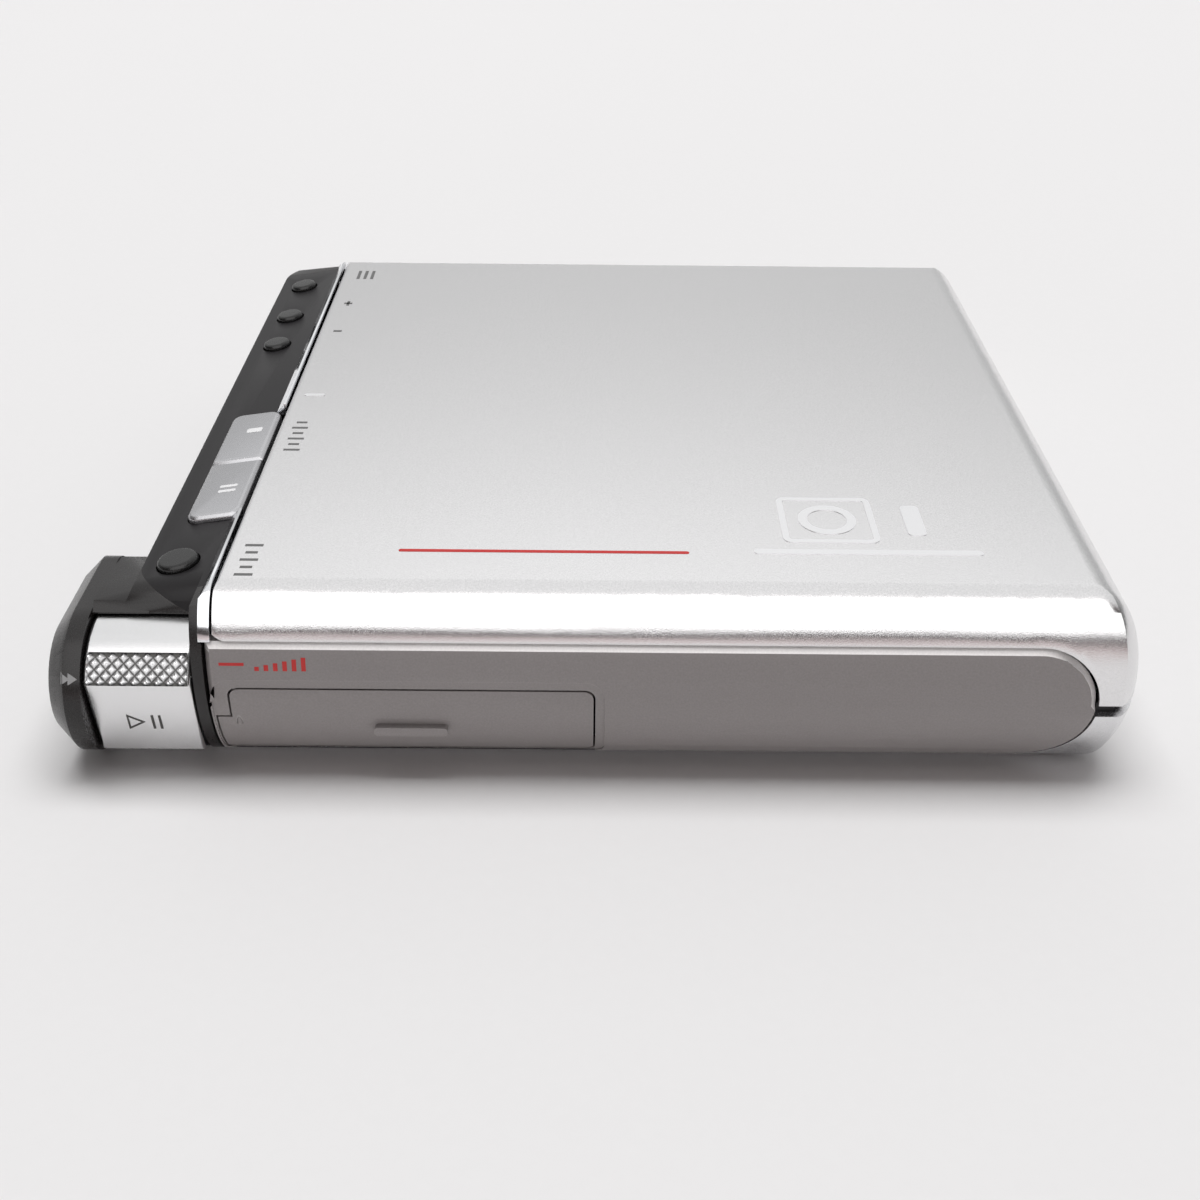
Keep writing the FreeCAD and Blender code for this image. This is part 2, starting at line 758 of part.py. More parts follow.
def front_panel():
    """Grey panel on the near side, cut away for the battery door."""
    form = side_panel_form("front", -far_out, -half_depth + 4)
    frame_left = door_left - s.door_step - s.door_gap
    frame_right = door_right + s.door_gap
    shallow = prism(
        "door_frame_zone", "XZ", -far_out, -half_depth + 4,
        rounded((frame_left - s.frame_width / 8, frame_right + s.frame_width),
                (s.door_bottom - s.frame_width, s.door_top + s.door_gap + s.frame_width),
                s.door_corner * 2),
    )
    sunk = case_form("sunk_form", s.frame_sink)
    frame_cut = common("door_frame_cut", shallow, cut("sunk_skin", outer_form, sunk))
    opening = prism("door_opening", "XZ", -far_out, -half_depth + 5, door_outline(s.door_gap))
    pin_bore = cylinder("door_pin_bore", "z", (door_hinge_x, door_hinge_y),
                        s.door_pin_radius + s.axle_clear, s.door_top - 1, door_pin_top)
    node(cut("front_panel", form, frame_cut, opening, pin_bore), "front_panel")


def battery_door():
    """Door that swings out about a pin at its left end, with a ribbed finger grip."""
    inner = case_form("door_inner", s.door_wall + s.frame_sink)
    skin = case_form("door_skin", s.frame_sink)
    shape = prism("door_shape", "XZ", -far_out, -half_depth + 5, door_outline(0.0))
    door = common("door_form", cut("door_wall_form", skin, inner), shape)
    grip_x = (door_left + s.grip_set, door_left + s.grip_set + s.grip_width)
    scoop = prism("grip_scoop", "YZ", grip_x[0], grip_x[1], trace(
        (-half_depth - 1, 2.6), (-half_depth + 0.95, 3.9, -3.0), (-half_depth - 1, 4.3),
        (-half_depth - 1, 2.6)))
    ridge = prism("grip_ridge", "XZ", -half_depth - 0.25, -half_depth + 0.8,
                  rounded(grip_x, (s.door_top - 4.3, s.door_top - 3.5), 0.35))
    edge = box("door_edge_zone", (door_hinge_x - 3, door_hinge_x),
               (-far_out, door_hinge_y), (s.door_step_top + s.door_gap / 2, s.door_top + 1))
    swing = cylinder("door_edge_round", "z", (door_hinge_x, door_hinge_y), 0.66,
                     s.door_bottom, s.door_top + 2)
    knuckle = cut("door_edge_cut", edge, swing)
    pin_bore = cylinder("door_bore", "z", (door_hinge_x, door_hinge_y),
                        s.door_pin_radius + s.axle_clear, door_pin_low, s.door_top + 2)
    sweep = cylinder("door_sweep", "z", (door_hinge_x, door_hinge_y),
                     door_right - door_hinge_x + 0.02, 0.0, s.body_height)
    door = fuse("door_ridged", cut("door_scooped", common("door_swept", door, sweep), scoop), ridge)
    node(cut("battery_door", door, knuckle, pin_bore), "battery_door")
    pin = cylinder("battery_door_pin", "z", (door_hinge_x, door_hinge_y),
                   s.door_pin_radius, door_pin_low, door_pin_top)
    node(pin, "battery_door_pin")


jack_last = half_length - s.jack_in
jack_places = [jack_last - s.jack_pitch * 2, jack_last - s.jack_pitch, jack_last]
jack_names = ["headphone_jack", "line_jack", "microphone_jack"]
port_left = panel_left + s.port_set - s.port_width / 2
port_middle = s.jack_height + 0.4


def rear_panel():
    """Grey panel on the far side with the socket openings."""
    form = side_panel_form("rear", half_depth - 4, far_out)
    tools = []
    for name, x in zip(jack_names, jack_places):
        tools.append(cylinder(name + "_opening", "y", (x, s.jack_height),
                              s.nose_radius + s.seam / 2, half_depth - 6, far_out))
    tools.append(prism("port_opening", "XZ", half_depth - 6, far_out, rounded(
        (port_left - 0.5, port_left + s.port_width + 0.5),
        (port_middle - s.port_height / 2 - 0.5, port_middle + s.port_height / 2 + 0.5), 0.6)))
    tools.append(prism("latch_opening", "XZ", half_depth - 6, far_out, rounded(
        latch_slot_x(), (latch_z() - 0.9, latch_z() + 0.9), 0.4)))
    node(cut("rear_panel", form, fuse("rear_openings", *tools)), "rear_panel")


def latch_slot_x():
    start = latch_x()
    return (start - s.slider_length / 2 - s.slider_travel - 0.2, start + s.slider_length / 2 + 0.2)


def latch_depth():
    """Hook and catch share this stretch behind the rear panel."""
    return (half_depth - 3.7, half_depth - 2.6)


def latch_x():
    return jack_places[0] + 2.0


def latch_z():
    return s.panel_top - 2.1


# The control side

def deck_cap(name, low):
    """Everything above the sloped deck, lowered by a depth."""
    run = half_length + 4 + trim_left
    fall = sine(s.deck_fall) / cosine(s.deck_fall)
    top = s.deck_top - low
    return prism(name, "XZ", -far_out, far_out, closed(
        (trim_left, top), (trim_left, s.body_height + 2),
        (trim_left - run, s.body_height + 2), (trim_left - run, top - run * fall)))


def lip_cap(name, low):
    """What the rounding behind the jog ring takes away; it follows the sloped deck."""
    radius = s.lip_radius - low
    middle_y = ring_y + s.lip_radius + 0.2
    top = s.lip_cross - low * cosine(s.deck_fall)
    left = middle_y - radius
    body = new_body(name + "_round")
    pad(body, "YZ", -s.ring_width * 1.5, s.ring_width * 1.5, closed(
        (-far_out, -s.ring_radius * 2), (left, -s.ring_radius * 2), (left, top - radius),
        (middle_y, top, -radius), (middle_y, s.ring_radius), (-far_out, s.ring_radius)))
    zone = box(name + "_zone", (lobe_right, cheek_left), (-far_out, middle_y + 1),
               (s.ring_height, s.body_height + 2))
    return common(name, on_deck(body), zone)


def plate_zone():
    """Control plate seen from above, its near outer corner rounded."""
    outer = -half_length + s.plate_inset
    near = ring_y + 0.2
    r = s.plate_corner
    return prism("plate_zone", "XY", s.ring_height, s.body_height + 2, trace(
        (outer + r, near), (trim_left, near), (trim_left, half_depth - 3.4),
        (outer, half_depth - 3.4), (outer, near + r), (outer + r, near, r)))


def bar_y(index):
    """Near and far ends of the two silver buttons."""
    low = -half_depth + 16.0 + (s.bar_length + s.bar_gap) * index
    return (low, low + s.bar_length)


def control_side():
    """Dark housing of the control side, its inlaid plate and the bright trim."""
    zone = box("housing_zone", (-half_length - 6, cheek_right), (-far_out, far_out),
               (s.left_seam + s.seam, s.body_height + 2))
    cheek = box("cheek_zone", (cheek_left, cheek_right),
                (-far_out, ring_y + s.ring_radius + 2), (s.case_wall + s.seam, s.body_height + 2))
    solid = common("housing_solid", outer_form, fuse("housing_zones", zone, cheek))
    top = fuse("housing_top", deck_cap("deck_cap", 0.0), lip_cap("lip_cap", 0.0))
    trim_notch = box("trim_notch", (trim_left, lid_left + 1), (-far_out, far_out),
                     (s.panel_top, s.body_height + 2))
    solid = cut("housing_capped", solid, top)
    deep = fuse("plate_floor", deck_cap("deck_cap_low", s.plate_thick),
                lip_cap("lip_cap_low", s.plate_thick))
    plate = common("plate_form", solid, plate_zone(), deep)
    near_wall = ring_y + s.ring_radius + s.jog_clear + s.jog_press + s.housing_wall
    hollow_zone = box("hollow_zone", (-half_length - 6, half_length), (near_wall, far_out),
                      (0.0, s.body_height + 2))
    hollow = cut("hollow_form", common("hollow_block", case_form("housing_inner", s.housing_wall),
                                       hollow_zone),
                 deck_cap("deck_cap_deep", s.plate_thick + deck_wall))
    shell = cut("housing_shell", solid, plate, hollow, trim_notch)
    shell = fuse("housing_lobed", shell, lobe())
    shell = cut("housing_slotted", shell, ring_space, axle_slots(), button_wells(), spine_openings())
    node(shell, "control_housing")
    plate = cut("control_plate_form", plate, ring_space, plate_holes())
    node(plate, "control_plate")
    trim_zone = box("trim_zone", (trim_left, trim_right), (-far_out, far_out),
                    (s.panel_top + s.seam / 2, s.body_height))
    trim = common("trim_block", outer_form, trim_zone)
    trim = cut("trim_skin", trim, case_form("trim_inner", s.trim_depth))
    slope = prism("trim_slope", "XZ", -far_out, far_out, closed(
        (trim_left - 1, s.deck_top + 0.1), (trim_left, s.deck_top + 0.35),
        (trim_right - 0.1, s.body_height - 0.2), (trim_right, s.body_height + 1),
        (trim_left - 1, s.body_height + 1)))
    notch = box("trim_bar_notch", (trim_left - 1, trim_right + 1),
                (bar_y(0)[0] - s.button_clear, bar_y(1)[1] + s.button_clear),
                (s.deck_top - 0.75, s.body_height + 1))
    node(cut("edge_trim", trim, slope, notch), "edge_trim")


def lobe():
    """Housing at the outer end of the jog ring, with a slanted rim."""
    radius = s.ring_radius + 0.1
    body = new_body("lobe_body")
    near_y = ring_y
    back_y = s.lobe_back - half_depth
    top = s.ring_height + radius + s.lobe_rise
    bottom = s.ring_height - radius
    corner = 2.5
    pad(body, "YZ", lobe_left, lobe_right, trace(
        (near_y, bottom),
        (back_y - corner, bottom), (back_y, bottom + corner, corner),
        (back_y, top - corner), (back_y - corner, top, corner),
        (near_y + s.lobe_rise, top), (near_y - radius, s.ring_height, radius + s.lobe_rise),
        (near_y, bottom, radius)))
    outer_x = lobe_left.value
    soften(body, "Chamfer", s.lobe_chamfer,
           lambda edge: abs(edge.BoundBox.XMax - outer_x) < 1e-3)
    # The bridge behind and over the ring that carries this housing
    under = s.left_seam + s.seam + 0.4
    brow = ring_y + 0.2
    pad(body, "YZ", lobe_right - 0.01, -half_length + s.housing_wall + 2, closed(
        (ring_y + s.ring_radius + s.jog_clear + s.jog_press, under),
        (back_y - 0.4, under),
        (back_y - 0.4, top - 1.2), (back_y - 1.6, top - 0.2),
        (ring_y + 2.6, top + 0.6), (ring_y + 1.0, top + 0.4), (brow, top - 0.3),
        (brow, s.ring_height)))
    return body


def axle_slots():
    """Slots that hold the jog axle and let it move in by the press."""
    forms = []
    radius = s.axle_radius + s.axle_clear
    spans = ((lobe_right - s.axle_hold, lobe_right + 0.1), (cheek_left - 0.1, cheek_left + s.axle_hold))
    for index, (low, high) in enumerate(spans):
        for shift in (0.0, s.jog_press):
            forms.append(cylinder("axle_slot%d" % index, "x", (ring_y + shift, s.ring_height),
                                  radius, low, high))
    return fuse("axle_slots", *forms)


# Buttons stand square to the sloped deck, so each is drawn level and then tipped with it

deck_x = -half_length + 4.7
deck_z = s.deck_top - (trim_left - deck_x) * sine(s.deck_fall) / cosine(s.deck_fall)
deck_wall = s.housing_wall * 0.8
flange_top = -s.plate_thick - s.lift
flange_low = flange_top - s.button_flange
stem_end = -s.plate_thick - deck_wall
dome_top = stem_end - s.button_travel - s.lift
board_top = dome_top - s.dome_height
round_buttons = [
    ("mark_button", -0.05, s.mark_y, s.mark_radius),
    ("volume_down_button", -0.25, s.volume_down_y, s.dot_radius),
    ("volume_up_button", -0.25, s.volume_up_y, s.dot_radius),
    ("menu_button", -0.25, s.menu_y, s.dot_radius),
]
bar_x = (trim_right - deck_x - s.bar_width - 0.1, trim_right - deck_x - 0.1)


def on_deck(thing):
    """Tips a level piece onto the deck; its own z = 0 becomes the deck's surface."""
    place(thing, deck_x, 0.0, deck_z, FreeCAD.Rotation(-AXES["y"], s.deck_fall.value))
    bind(thing, "Placement.Rotation.Angle", s.deck_fall)
    return thing


def deck_tool(name, low, high, *outlines):
    tool = new_body(name)
    pad(tool, "XY", low, high, *outlines)
    return on_deck(tool)


def bar_flange(index, grow):
    """Lip of a silver button: outward and at its free end, never towards trim or twin."""
    low, high = bar_y(index)
    free = s.button_flange + grow
    ends = (low - free, high - s.bar_corner) if index == 0 else (low + s.bar_corner, high + free)
    return rectangle((bar_x[0] - free, bar_x[0] + s.bar_width / 2), ends)


def plate_holes():
    gap = s.button_clear
    outlines = [disc(x, y - half_depth, radius + gap) for name, x, y, radius in round_buttons]
    outlines.append(rounded((bar_x[0] - gap, bar_x[1] + gap),
                            (bar_y(0)[0] - gap, bar_y(1)[1] + gap), s.bar_corner + gap))
    return deck_tool("plate_holes", -2.0, 2.0, *outlines)


def button_wells():
    """Wells under the control plate that take the buttons' lips; the mark button's is blind."""
    wide = s.button_flange + s.button_clear
    spots = [disc(x, y - half_depth, radius + wide) for name, x, y, radius in round_buttons]
    bars = rectangle((bar_x[0] - wide, bar_x[1] + s.button_clear),
                     (bar_y(0)[0] - wide, bar_y(1)[1] + wide))
    return fuse(
        "button_wells",
        deck_tool("mark_well", flange_low - s.button_travel - s.dome_height - s.lift * 2, 1.0, spots[0]),
        deck_tool("other_wells", stem_end - 0.6, 1.0, bars, *spots[1:]))


def buttons():
    for name, x, y, radius in round_buttons:
        body = new_body(name)
        spot = y - half_depth
        end = flange_low if name == "mark_button" else stem_end
        pad(body, "XY", end, s.button_rise, disc(x, spot, radius))
        soften(body, "Fillet", s.button_rise * 0.8, level_at(s.button_rise.value))
        pad(body, "XY", flange_low, flange_top, disc(x, spot, radius + s.button_flange))
        node(on_deck(body), name)
    for index, name in enumerate(("pause_button", "stop_button")):
        body = new_body(name)
        low, high = bar_y(index)
        r = s.bar_corner
        x0, x1 = bar_x
        if index == 0:
            outline = trace((x0 + r, low), (x1 - r, low), (x1, low + r, r), (x1, high),
                            (x0, high), (x0, low + r), (x0 + r, low, r))
        else:
            outline = closed((x0, low), (x1, low), (x1, high - r), (x1 - r, high, r),
                             (x0 + r, high), (x0, high - r, r))
        top = s.button_rise + 0.1
        pad(body, "XY", stem_end, top, outline)
        soften(body, "Chamfer", 0.3, level_at(top.value))
        pad(body, "XY", flange_low, flange_top, bar_flange(index, 0.0))
        node(on_deck(body), name)
    board = new_body("switch_board")
    pad(board, "XY", board_top - s.board_thick, board_top,
        rectangle((bar_x[0] + 0.4, bar_x[1] - 0.6),
                  (-half_depth + 14.2, half_depth - 5)))
    node(on_deck(board), "switch_board")
    spots = [(x, y - half_depth, board_top) for name, x, y, radius in round_buttons[1:]]
    middle = (bar_x[0] + bar_x[1]) / 2
    spots += [(middle, (bar_y(i)[0] + bar_y(i)[1]) / 2, board_top) for i in (0, 1)]
    mark = round_buttons[0]
    spots.append((mark[1], mark[2] - half_depth,
                  flange_low - s.button_travel - s.dome_height - s.lift * 2))
    domes = []
    for index, (x, y, level) in enumerate(spots):
        dome = new_body("dome%d" % index)
        pad(dome, "XY", level, level + s.dome_height, disc(x, y, s.dome_radius))
        domes.append(on_deck(dome))
    node(group("dome_set", *domes), "dome_switches")


def spine_openings():
    """Window and slider openings in the outer side of the control housing."""
    left = -half_length - 2
    return fuse(
        "spine_openings",
        prism("window_opening", "YZ", left, -half_length + 4, rounded(window_y(), window_z(), 0.8)),
        *[prism(name + "_opening", "YZ", left, -half_length + 4,
                rounded((y - s.slider_length / 2 - 0.2, y + s.slider_length / 2 + s.slider_travel + 0.2),
                        (s.belly_height - 1.0, s.belly_height + 1.0), 0.4))
          for name, y in spine_sliders()])


def window_y():
    return (-half_depth + 20, -half_depth + 46)


def window_z():
    return (s.belly_height - 2.6, s.belly_height + 2.6)


def spine_sliders():
    return (("hold_slider", -half_depth + 52.0), ("record_slider", -half_depth + 64.0))


def spine_parts():
    """Display behind its window, and the two sliders."""
    window = common(
        "window_form",
        cut("window_skin", outer_form, case_form("window_inner", s.housing_wall)),
        prism("window_shape", "YZ", -half_length - 2, -half_length + 4, rounded(
            (window_y()[0] + 0.06, window_y()[1] - 0.06),
            (window_z()[0] + 0.06, window_z()[1] - 0.06), 0.74)))
    node(window, "display_window")
    display = new_body("display_module")
    x0 = -half_length + s.housing_wall + 0.75
    pad(display, "YZ", x0, x0 + 1.4, rounded((window_y()[0] - 0.5, window_y()[1] + 0.5),
                                             (window_z()[0] + 0.2, window_z()[1] - 0.2), 0.3))
    node(display, "display_module")
    for name, y in spine_sliders():
        body = new_body(name)
        half = s.slider_length / 2
        z = s.belly_height
        pad(body, "YZ", -half_length - 0.35, -half_length + 1.6,
            rounded((y - half, y + half), (z - 0.85, z + 0.85), 0.35))
        pad(body, "YZ", -half_length + 1.25, -half_length + 2.0,
            rectangle((y - half - 0.8, y + half + 0.8), (z - 1.8, z + 1.8)))
        for step in range(3):
            groove = y - 1.2 + 1.2 * step
            pocket(body, "YZ", -half_length - 0.5, -half_length - 0.1,
                   rectangle((groove - 0.2, groove + 0.2), (z - 2, z + 2)))
        node(body, name)


# The jog

def jog():
    """Ring with a flat, on a hub and axle that slide in when the ring is pressed."""
    radius = s.ring_radius
    half_chord = root(radius * radius - s.ring_flat * s.ring_flat)
    ring = new_body("jog_ring")
    pad(ring, "YZ", 0.0, s.ring_width, trace(
        (-s.ring_flat, half_chord), (-s.ring_flat, -half_chord),
        (0.0, -radius, radius), (radius, 0.0, radius), (0.0, radius, radius),
        (-s.ring_flat, half_chord, radius)))
    hub_radius = s.axle_radius + s.axle_clear
    side_depth = (s.ring_width - s.ring_web) / 2
    for low, high in ((-1.0, side_depth), (s.ring_width - side_depth, s.ring_width + 1)):
        pocket(ring, "YZ", low, high, disc(0.0, 0.0, s.ring_bore))
    pocket(ring, "YZ", -1.0, s.ring_width + 1, disc(0.0, 0.0, hub_radius))
    soften(ring, "Fillet", s.ring_edge, at_ring_rim)
    place(ring, ring_left, ring_y, s.ring_height, FreeCAD.Rotation(AXES["x"], s.ring_tilt.value))
    bind(ring, "Placement.Rotation.Angle", s.ring_tilt)
    node(ring, "jog_ring")
    axle = new_body("jog_axle")
    pad(axle, "YZ", lobe_right - s.axle_hold + s.axle_clear, cheek_left + s.axle_hold - s.axle_clear,
        disc(ring_y, s.ring_height, s.axle_radius))
    collar_gap = s.ring_web / 2 + s.axle_clear
    middle = ring_left + s.ring_width / 2
    for low, high in ((middle - collar_gap - 0.8, middle - collar_gap),
                      (middle + collar_gap, middle + collar_gap + 0.8)):
        pad(axle, "YZ", low, high, disc(ring_y, s.ring_height, s.axle_radius + 0.7))
    node(axle, "jog_axle")


def at_ring_rim(edge):
    """Outer edges of both ring ends."""
    box_ = edge.BoundBox
    flat_end = box_.XMax - box_.XMin < 1e-4
    at_end = min(abs(box_.XMin), abs(box_.XMin - s.ring_width.value)) < 1e-4
    middle = edge.valueAt((edge.FirstParameter + edge.LastParameter) / 2)
    return flat_end and at_end and math.hypot(middle.y, middle.z) > s.ring_bore.value + 0.1


# The lid and what opens with it

def lid():
    """Silver lid: a thin shell over the disc bay, hinged along its control side."""
    edge = s.lid_edge_radius
    zone = prism("lid_zone", "XZ", -far_out, far_out, trace(
        (lid_left, gap_top), (half_length + 6, gap_top), (half_length + 6, s.body_height + 1),
        (lid_left + edge, s.body_height + 1), (lid_left + edge, s.body_height),
        (lid_left, s.body_height - edge, edge), (lid_left, gap_top)))
    sweep = hinge_z - s.panel_top - s.seam / 2
    corner = cut(
        "lid_corner",
        box("lid_corner_block", (lid_left - 1, hinge_x), (-far_out, far_out),
            (s.panel_top - 2, hinge_z)),
        cylinder("lid_corner_round", "y", (hinge_x, hinge_z), sweep, -far_out - 1, far_out + 1))
    node(cut("lid_cover", common("lid_shell", thin_shell, zone), side_gap, corner), "lid_cover")


def lid_liner():
    """Dark liner plate under the lid, with hinge ears and the catch for the latch."""
    inner = case_form("liner_fit", s.case_wall + 0.03)
    reach = ear_half - s.ear_thick - s.ear_gap
    edge_y = half_depth - s.belly_depth
    pad_form = box("liner_pad", (lid_left + 3.6, half_length - s.belly_depth - 0.2),
                   (-edge_y + 0.2, edge_y - 0.2), (lid_under - s.liner_thick, lid_under))
    plate = common(
        "liner_plate", inner,
        box("liner_zone", (lid_left + 3.6, holder_right + 0.2), (-edge_y - 1.3, edge_y + 1.3),
            (lid_under - s.liner_thick - 0.03, lid_under)))
    window = box("liner_arm_room", (lid_left, lid_left + 6),
                 (sled_y - 6, sled_y + sled_travel + 5.4), (hinge_z, s.body_height))
    parts = [plate]
    for name, side in (("near", -1), ("far", 1)):
        low, high = on_side(side, reach - s.ear_thick, reach)
        parts.append(box("liner_arm_" + name, (hinge_x, lid_left + 4.2), (low, high),
                         (hinge_z - 0.35, lid_under)))
        parts.append(cylinder("liner_eye_" + name, "y", (hinge_x, hinge_z), s.eye_radius, low, high))
    catch_x = latch_x() + s.latch_reach
    parts.append(box("liner_catch", (catch_x, catch_x + 2.0), latch_depth(),
                     (s.panel_top + 0.6, lid_under)))
    liner = fuse("liner_whole", common("liner_trimmed", fuse("liner_parts", *parts), inner), pad_form)
    liner = cut("liner_open", liner, window)
    bores = cylinder("liner_bore", "y", (hinge_x, hinge_z), s.pin_radius + s.axle_clear,
                     -far_out, far_out)
    node(cut("lid_liner", liner, bores), "lid_liner")


def on_side(side, near, far):
    """A stretch measured from the middle, on the near (-1) or far (1) side."""
    return (near, far) if side > 0 else (-far, -near)


def hinge_pins():
    inner_end = ear_half - s.ear_thick * 2 - s.ear_gap * 2 - s.sheet_metal - 0.4
    pins = []
    for name, side in (("near", -1), ("far", 1)):
        low, high = on_side(side, inner_end, ear_half)
        pins.append(cylinder("pin_" + name, "y", (hinge_x, hinge_z), s.pin_radius, low, high))
    node(group("hinge_pins_pair", *pins), "hinge_pins")


def disc_holder():
    """Sheet-metal holder that takes the cartridge from the mouth and swings up with the lid."""
    sheet = s.sheet_metal
    outer_half = holder_half + sheet
    body = new_body("disc_holder")
    pad(body, "XY", s.holder_floor, bay_roof,
        rectangle((holder_left, holder_right), (-outer_half, outer_half)))
    pocket(body, "XY", bay_floor, bay_roof + 1,
           rectangle((holder_inner, holder_right + 1), (-holder_half, holder_half)))
    pocket(body, "XY", s.holder_floor - 1, bay_floor + 0.1, trace(
        (spindle_x - 8.5, 0.0), (spindle_x + 8.5, 0.0, 8.5), (spindle_x + 8.5, holder_half - 4),
        (spindle_x - 8.5, holder_half - 4), (spindle_x - 8.5, 0.0)))
    # Ears of the tray reach up past the roof's edge to the hinge pins
    ears = ear_half - s.ear_thick * 2 - s.ear_gap * 2
    ear_root = holder_inner + 0.2
    for side in (-1, 1):
        low, high = on_side(side, ears - sheet, ears)
        pad(body, "XZ", low, high, trace(
            (ear_root, hinge_z - 2.6), (ear_root, hinge_z - s.eye_radius + 0.2),
            (hinge_x, hinge_z + s.eye_radius), (hinge_x, hinge_z - s.eye_radius, s.eye_radius),
            (ear_root, hinge_z - 2.6)))
        pocket(body, "XZ", low - 0.1, high + 0.1,
               disc(hinge_x, hinge_z, s.pin_radius + s.axle_clear))
    node(body, "disc_holder")
    roof = new_body("holder_roof")
    pad(roof, "XY", bay_roof, holder_top,
        rectangle((ear_root, holder_right), (-outer_half, outer_half)))
    pocket(roof, "XY", bay_roof - 1, holder_top + 1, rectangle(
        (spindle_x - 4.5, spindle_x + 4.5), (sled_y - 4.0, sled_y + sled_travel + 4.0)))
    pocket(roof, "XY", bay_roof - 1, holder_top + 1,
           rounded((holder_left + 7, holder_right - 7), (-holder_half + 7, sled_y - 8), 3.0))
    node(roof, "holder_roof")


# The mechanism

eye_y = (sled_y - 1.25, sled_y - 0.05)


def chassis():
    """Chassis plate with its windows, hinge ears and motor openings."""
    body = new_body("chassis_plate")
    low, high = s.chassis_under, chassis_top
    left = lid_left + 1.0
    right = half_length - 4.4
    depth = half_depth - 4.2
    pad(body, "XY", low, high, rounded((left, right), (-depth, depth), 2.0))
    pocket(body, "XY", low - 1, high + 1, disc(spindle_x, 0.0, s.turntable_radius + 0.7))
    pocket(body, "XY", low - 1, high + 1, rounded(
        (screw_x - 2.6, spindle_x + 11.0),
        (sled_y - s.sled_length / 2 - 0.6, depth - 1.6), 1.0))
    pocket(body, "XY", low - 1, high + 1, rectangle(
        (left - 1, left + 2.6), (sled_y - 2.4, sled_y + sled_travel + 2.4)))
    room = s.jack_body / 2 + 0.3
    back = half_depth - s.jack_depth - 1.9
    pocket(body, "XY", low - 1, high + 1,
           rectangle((jack_places[0] - room, jack_places[2] + room), (back, half_depth)))
    pocket(body, "XY", low - 1, high + 1,
           rectangle((port_left - 0.6, port_left + s.port_width + 0.6), (half_depth - 6.9, half_depth)))
    for side in (-1, 1):
        ear_low, ear_high = on_side(side, ear_half - s.ear_thick, ear_half)
        pad(body, "XZ", ear_low, ear_high, trace(
            (hinge_x - s.eye_radius, low + 0.1), (hinge_x + s.eye_radius, low + 0.1),
            (hinge_x + s.eye_radius, hinge_z), (hinge_x - s.eye_radius, hinge_z, s.eye_radius),
            (hinge_x - s.eye_radius, low + 0.1)))
        pocket(body, "XZ", ear_low - 0.1, ear_high + 0.1,
               disc(hinge_x, hinge_z, s.pin_radius + s.axle_clear))
    for x, y in screw_spots[:2]:
        pocket(body, "XY", low - 1, high + 1, disc(x, y, s.screw_shank + s.axle_clear))
    node(body, "chassis_plate")


def spindle():
    """Motor under the chassis, turntable and hub above it."""
    x = spindle_x
    motor = new_body("spindle_motor")
    top = s.chassis_under
    pad(motor, "XY", top - s.motor_height, top - 0.6, disc(x, 0.0, s.motor_radius))
    pad(motor, "XY", top - 0.6, top, disc(x, 0.0, s.motor_radius + 0.5))
    pocket(motor, "XY", top - s.motor_height + 1, top + 1, disc(x, 0.0, 1.2))
    pocket(motor, "XY", top - 0.5, top + 1, disc(x, 0.0, s.turntable_radius + 0.3))
    node(motor, "spindle_motor")
    table = new_body("turntable")
    plate_low = chassis_top - 0.2
    rim = s.turntable_radius
    hub = s.hub_radius
    profile = trace(
        (0.0, top - s.motor_height + 1.1), (1.1, top - s.motor_height + 1.1), (1.1, plate_low),
        (rim, plate_low), (rim, plate_low + 0.7), (hub, plate_low + 0.7),
        (hub - 0.5, bay_floor + 0.6), (0.0, bay_floor + 0.6), (0.0, top - s.motor_height + 1.1))
    turned(table, "XZ", "Z", profile)
    place(table, x, 0.0, 0.0)
    node(table, "turntable")


